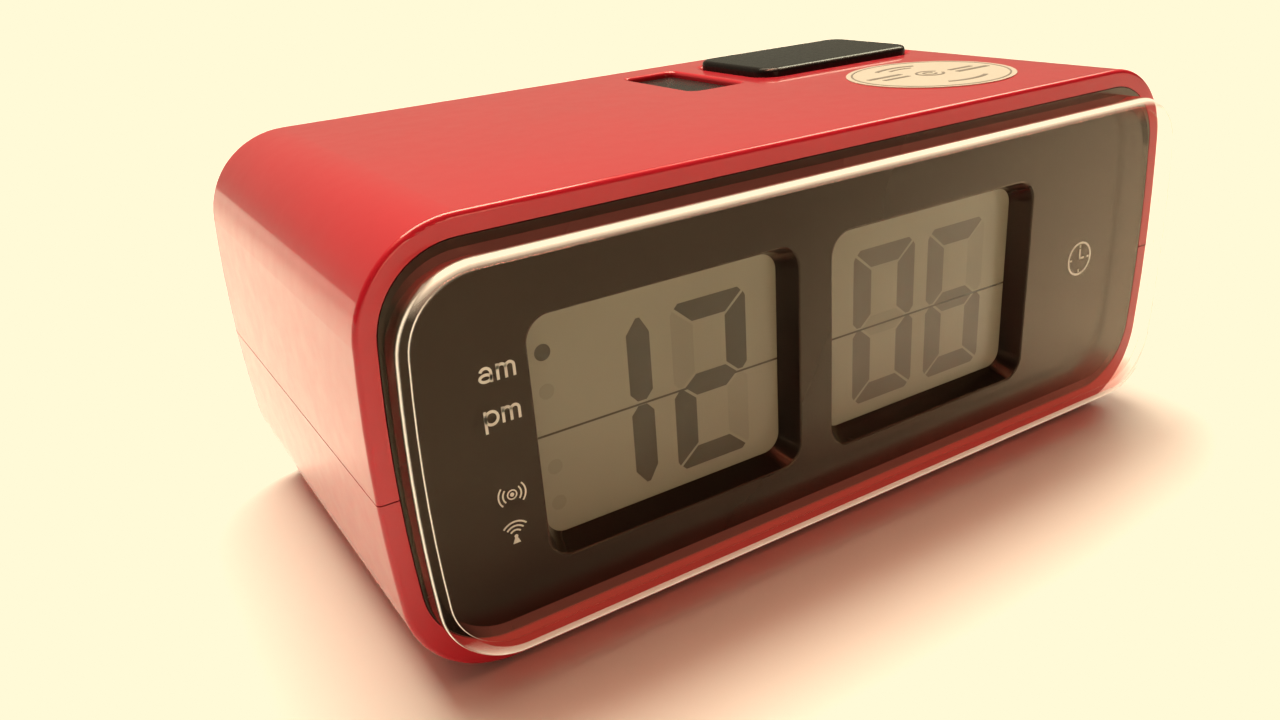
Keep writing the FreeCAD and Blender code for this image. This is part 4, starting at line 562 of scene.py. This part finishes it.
def alarm_mark():
    """A ring with a dot, between two pairs of arcs."""
    shapes = [dot(0, 0, 0.32), arc_band(0, 0, 0.72, 0.2, 0, 359.5)]
    for radius in (1.45, 2.15):
        shapes.append(arc_band(0, 0, radius, 0.24, -42, 42))
        shapes.append(arc_band(0, 0, radius, 0.24, 138, 222))
    return shapes


def antenna_mark():
    """A small mast under three waves."""
    mast = [(-0.62, -1.75), (0.62, -1.75), (0.16, -0.7), (-0.16, -0.7)]
    shapes = [mast, dot(0, -0.6, 0.3)]
    for radius in (1.05, 1.75, 2.45):
        shapes.append(arc_band(0, -0.6, radius, 0.26, 42, 138))
    return shapes


def clock_mark():
    """A plain clock face: a ring, four ticks and two hands."""
    shapes = [arc_band(0, 0, 3.2, 0.4, 0, 359.5, 48)]
    for quarter in range(4):
        turn = math.radians(90 * quarter)
        inner = (2.2 * math.cos(turn), 2.2 * math.sin(turn))
        outer = (2.75 * math.cos(turn), 2.75 * math.sin(turn))
        shapes.append(stroke(inner, outer, 0.34))
    shapes.append(stroke((0, -0.2), (0, 1.9), 0.4))
    shapes.append(stroke((-0.2, 0), (1.35, 0), 0.4))
    return shapes


MARKS = (
    ("mark_am", am_mark, -63.2, 11.1),
    ("mark_pm", pm_mark, -63.2, 4.6),
    ("mark_alarm", alarm_mark, -63.4, -8.1),
    ("mark_antenna", antenna_mark, -63.6, -14.4),
    ("mark_clock", clock_mark, 60.5, -1.2),
)
for mark_name, draw, across, up in MARKS:
    print_on_plate(mark_name, draw(), across, up)

# ---------------------------------------------------------------- digits

DIGIT_WIDE = 14.4
DIGIT_TALL = 28.9
LINE = 4.1
SPLIT = 0.35


def mirrored(outline, across, over):
    """An outline turned over sideways, top to bottom, or both; its points keep their order."""
    turned = [(u * (-1 if across else 1), v * (-1 if over else 1)) for u, v in outline]
    return turned[::-1] if across != over else turned


def side_segment():
    """The upper right segment: a mitred upper end and a blunt point at its lower end."""
    outer = DIGIT_WIDE / 2
    inner = outer - LINE
    top = DIGIT_TALL / 2
    return [(outer - 0.9, 0.3), (outer, 1.3), (outer, top - 1.7), (outer - 0.4, top - 1.0),
            (inner, top - 4.1), (inner, 2.3), (outer - 1.8, 0.3)]


def top_segment():
    """The top segment: flat outside, narrower inside, with cut corners."""
    outer = DIGIT_WIDE / 2
    inner = outer - LINE
    top = DIGIT_TALL / 2
    return [(-inner - 0.1, top - 3.5), (inner + 0.1, top - 3.5), (outer - 0.8, top - 0.7),
            (outer - 1.5, top), (-outer + 1.5, top), (-outer + 0.8, top - 0.7)]


def middle_segment():
    """The lens-shaped middle segment."""
    tip = 5.1
    return [(-tip, 0.0), (-tip + 2.2, -1.85), (tip - 2.2, -1.85), (tip, 0.0),
            (tip - 2.2, 1.85), (-tip + 2.2, 1.85)]


SEGMENTS = {
    "a": top_segment(),
    "b": side_segment(),
    "c": mirrored(side_segment(), False, True),
    "d": mirrored(top_segment(), False, True),
    "e": mirrored(side_segment(), True, True),
    "f": mirrored(side_segment(), True, False),
    "g": middle_segment(),
}
SEGMENTS_OF = {"0": "abcdef", "2": "abged", "6": "acdefg"}


def digit(figure):
    """The outlines of one digit, centred on its cell."""
    return [SEGMENTS[letter] for letter in SEGMENTS_OF[figure]]


def unlit(figure):
    """The segments that the digit leaves off."""
    return [SEGMENTS[letter] for letter in sorted(SEGMENTS) if letter not in SEGMENTS_OF[figure]]


def one():
    """The digit one: two upright segments, tapered at both ends."""
    half = LINE / 2
    tall = DIGIT_TALL / 2 - 0.4
    upper = [(-0.8, 0.4), (0.8, 0.4), (half, 1.8), (half, tall - 2.6), (0.5, tall), (-0.2, tall),
             (-half, tall - 2.4), (-half, 1.8)]
    return [upper, mirrored(upper, False, True)]


DISPLAYS = {name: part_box(f"{name}_front_glass") for name in ("hour", "minute")}
LAYER = 0.012 * MM
DIGIT_LEVEL = -0.8
SPLIT_LEVEL = -0.95
SPLIT_LONG = 47.8
ONE_AT = -4.1
TENS_AT = -8.65
HOUR_ONES_AT = 9.05
MINUTE_ONES_AT = 9.0
DOTS_AT = -20.1
AM_DOT = 12.2
OTHER_DOTS = (6.0, -6.5, -12.7)


def on_glass(name, outlines, display, u, v, material, layer=1):
    """A part of a display's picture, u and v millimetres from the glass's centre."""
    low, high = DISPLAYS[display]
    mid = (low + high) / 2
    place = on_front(mid.x + u * MM, mid.z + v * MM)
    near = low.y - layer * LAYER
    return printed(name, outlines, near, near + LAYER, place, material)


on_glass("digit_hour_tens", one(), "hour", ONE_AT, DIGIT_LEVEL, DIGIT_DARK)
on_glass("digit_hour_ones", digit("2"), "hour", HOUR_ONES_AT, DIGIT_LEVEL, DIGIT_DARK)
on_glass("digit_minute_tens", digit("0"), "minute", TENS_AT, DIGIT_LEVEL, DIGIT_FAINT)
on_glass("digit_minute_ones", digit("6"), "minute", MINUTE_ONES_AT, DIGIT_LEVEL, DIGIT_FAINT)
on_glass("unlit_hour_ones", unlit("2"), "hour", HOUR_ONES_AT, DIGIT_LEVEL, GROUND_FAINT)
on_glass("unlit_minute_tens", unlit("0"), "minute", TENS_AT, DIGIT_LEVEL, GROUND_FAINT)
on_glass("unlit_minute_ones", unlit("6"), "minute", MINUTE_ONES_AT, DIGIT_LEVEL, GROUND_FAINT)
on_glass("dot_am", [dot(0, 0, 1.3)], "hour", DOTS_AT, AM_DOT, DIGIT_DARK)
on_glass("dots_off", [dot(0, level, 1.25) for level in OTHER_DOTS], "hour", DOTS_AT, 0.0,
         GROUND_FAINT)
for display_name in DISPLAYS:
    on_glass(f"split_{display_name}", [bar(-SPLIT_LONG / 2, -SPLIT / 2, SPLIT_LONG, SPLIT)],
             display_name, 0.0, SPLIT_LEVEL, DIGIT_DARK, layer=2)

# ---------------------------------------------------------------- round label

label_low, label_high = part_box("top_label")
label_mid = (label_low + label_high) / 2
label_radius = (label_high.x - label_low.x) / 2 / MM


def label_print(name, outlines):
    """Dark print on the round label."""
    place = on_top(label_mid.x, label_mid.y)
    return printed(name, outlines, label_high.z, label_high.z + INK, place, LABEL_INK)


label_print("label_ring", [arc_band(0, 0, label_radius - 1.1, 0.35, 0, 359.5, 72)])
label_print("label_emblem", [arc_band(0, 0, radius, 0.5, 20, 340, 36) for radius in (1.2, 2.6)])
label_print("label_bars", [bar(-12.5, 3.2, 8.5, 1.2), bar(-11.0, 0.6, 6.5, 1.0),
                           bar(4.5, -3.4, 8.5, 1.2), bar(5.0, -0.8, 6.0, 1.0)])
label_print("label_arc_upper", [arc_band(0, 0, 10.6, 0.9, 62, 118),
                                arc_band(0, 0, 8.4, 0.6, 70, 110)])
label_print("label_arc_lower", [arc_band(0, 0, 10.6, 0.9, 242, 298)])

# ---------------------------------------------------------------- studio

WHITE = (1.0, 1.0, 1.0)
PINK = (1.0, 0.42, 0.36)
PEACH = (1.0, 0.6, 0.52)
SKY_FRONT = (0.07, 0.034, 0.028)
SKY_BACK = (0.3, 0.3, 0.3)
CLOCK_MIDDLE = (0.0, 0.0, 0.03)
FLOOR_REACH = 20.0
GLOW_STARTS = 0.6
GLOW_FULL = 1.4
# Each lamp: its name, its place and size in metres, its power in watts and its colour.
LAMPS = (
    ("overhead", (0.03, 0.3, 0.93), (0.8, 0.46), 13.0, WHITE),
    ("right_key", (0.75, 0.25, 0.8), (0.45, 0.45), 4.0, WHITE),
    ("pink_fill", (-0.05, 0.12, 0.95), (1.1, 0.6), 6.5, PINK),
    ("front_glow", (0.1, -1.0, 0.12), (0.5, 0.2), 1.6, PEACH),
)
# How much red, green and blue are left in full white.
CREAM = (1.0, 0.956, 0.68)
# The camera's lens and place in millimetres, and its direction in degrees.
LENS = 29.353
EYE = (-112.24, -161.72, 104.04)
HEADING = 30.41
DIP = 23.337
ROLL = -4.293


def pale_floor():
    """A plain pale floor, very slightly mottled, that stays bright away from the lamps."""
    mesh = bpy.data.meshes.new("floor")
    level = cad_box[0].z
    corners = [(x * FLOOR_REACH, y * FLOOR_REACH, level)
               for x, y in ((-1, -1), (1, -1), (1, 1), (-1, 1))]
    mesh.from_pydata(corners, [], [(0, 1, 2, 3)])
    floor = bpy.data.objects.new("floor", mesh)
    bpy.context.scene.collection.objects.link(floor)
    material, tree, principled = shader("floor")
    tree.links.new(blend_colours(tree, noise(tree, 6.0), (0.88, 0.88, 0.88), (0.92, 0.92, 0.92)),
                   principled.inputs["Base Color"])
    tree.links.new(spread(tree, noise(tree, 300.0), 0.55, 0.65), principled.inputs["Roughness"])
    place = tree.nodes.new("ShaderNodeTexCoord")
    distance = tree.nodes.new("ShaderNodeVectorMath")
    distance.operation = "LENGTH"
    glow = tree.nodes.new("ShaderNodeMapRange")
    glow.inputs["From Min"].default_value = GLOW_STARTS
    glow.inputs["From Max"].default_value = GLOW_FULL
    tree.links.new(place.outputs["Object"], distance.inputs[0])
    tree.links.new(distance.outputs["Value"], glow.inputs["Value"])
    tree.links.new(glow.outputs["Result"], principled.inputs["Emission Strength"])
    principled.inputs["Emission Color"].default_value = (*WHITE, 1.0)
    mesh.materials.append(material)


def area_light(name, place, size, power, colour):
    """A soft rectangular lamp that points at the clock."""
    light = bpy.data.lights.new(name, "AREA")
    light.shape = "RECTANGLE"
    light.size, light.size_y = size
    light.energy = power
    light.color = colour
    lamp = bpy.data.objects.new(name, light)
    lamp.location = place
    lamp.rotation_euler = (Vector(CLOCK_MIDDLE) - Vector(place)).to_track_quat("-Z", "Y").to_euler()
    bpy.context.scene.collection.objects.link(lamp)


def sky():
    """A dim room: dull pink in front of the clock, paler and brighter behind it."""
    world = bpy.data.worlds.new("surround")
    world.use_nodes = True
    tree = world.node_tree
    direction = tree.nodes.new("ShaderNodeTexCoord")
    parts = tree.nodes.new("ShaderNodeSeparateXYZ")
    level = tree.nodes.new("ShaderNodeMapRange")
    level.inputs["From Min"].default_value = -0.2
    level.inputs["From Max"].default_value = 0.8
    tree.links.new(direction.outputs["Generated"], parts.inputs["Vector"])
    tree.links.new(parts.outputs["Y"], level.inputs["Value"])
    tree.links.new(blend_colours(tree, level.outputs["Result"], SKY_FRONT, SKY_BACK),
                   tree.nodes["Background"].inputs["Color"])
    bpy.context.scene.world = world


def warm_white():
    """The camera's warm white: full white comes out as a pale cream."""
    settings = bpy.context.scene.view_settings
    settings.view_transform = "Standard"
    settings.use_curve_mapping = True
    mapping = settings.curve_mapping
    mapping.extend = "HORIZONTAL"
    for curve, level in zip(mapping.curves, CREAM):
        curve.points[1].location = (1.0, level)
    mapping.update()


def camera():
    """The camera stands close by, to the left of the clock and above it, and is slightly rolled."""
    data = bpy.data.cameras.new("camera")
    data.lens = LENS
    data.clip_start = 0.01
    data.clip_end = 50.0
    heading, dip, roll = (math.radians(angle) for angle in (HEADING, DIP, ROLL))
    forward = Vector((math.sin(heading) * math.cos(dip), math.cos(heading) * math.cos(dip),
                      -math.sin(dip)))
    turn = forward.to_track_quat("-Z", "Y") @ Quaternion((0.0, 0.0, 1.0), roll)
    eye = bpy.data.objects.new("camera", data)
    eye.location = [distance * MM for distance in EYE]
    eye.rotation_euler = turn.to_euler()
    bpy.context.scene.collection.objects.link(eye)
    bpy.context.scene.camera = eye


pale_floor()
sky()
for lamp_values in LAMPS:
    area_light(*lamp_values)
camera()
warm_white()
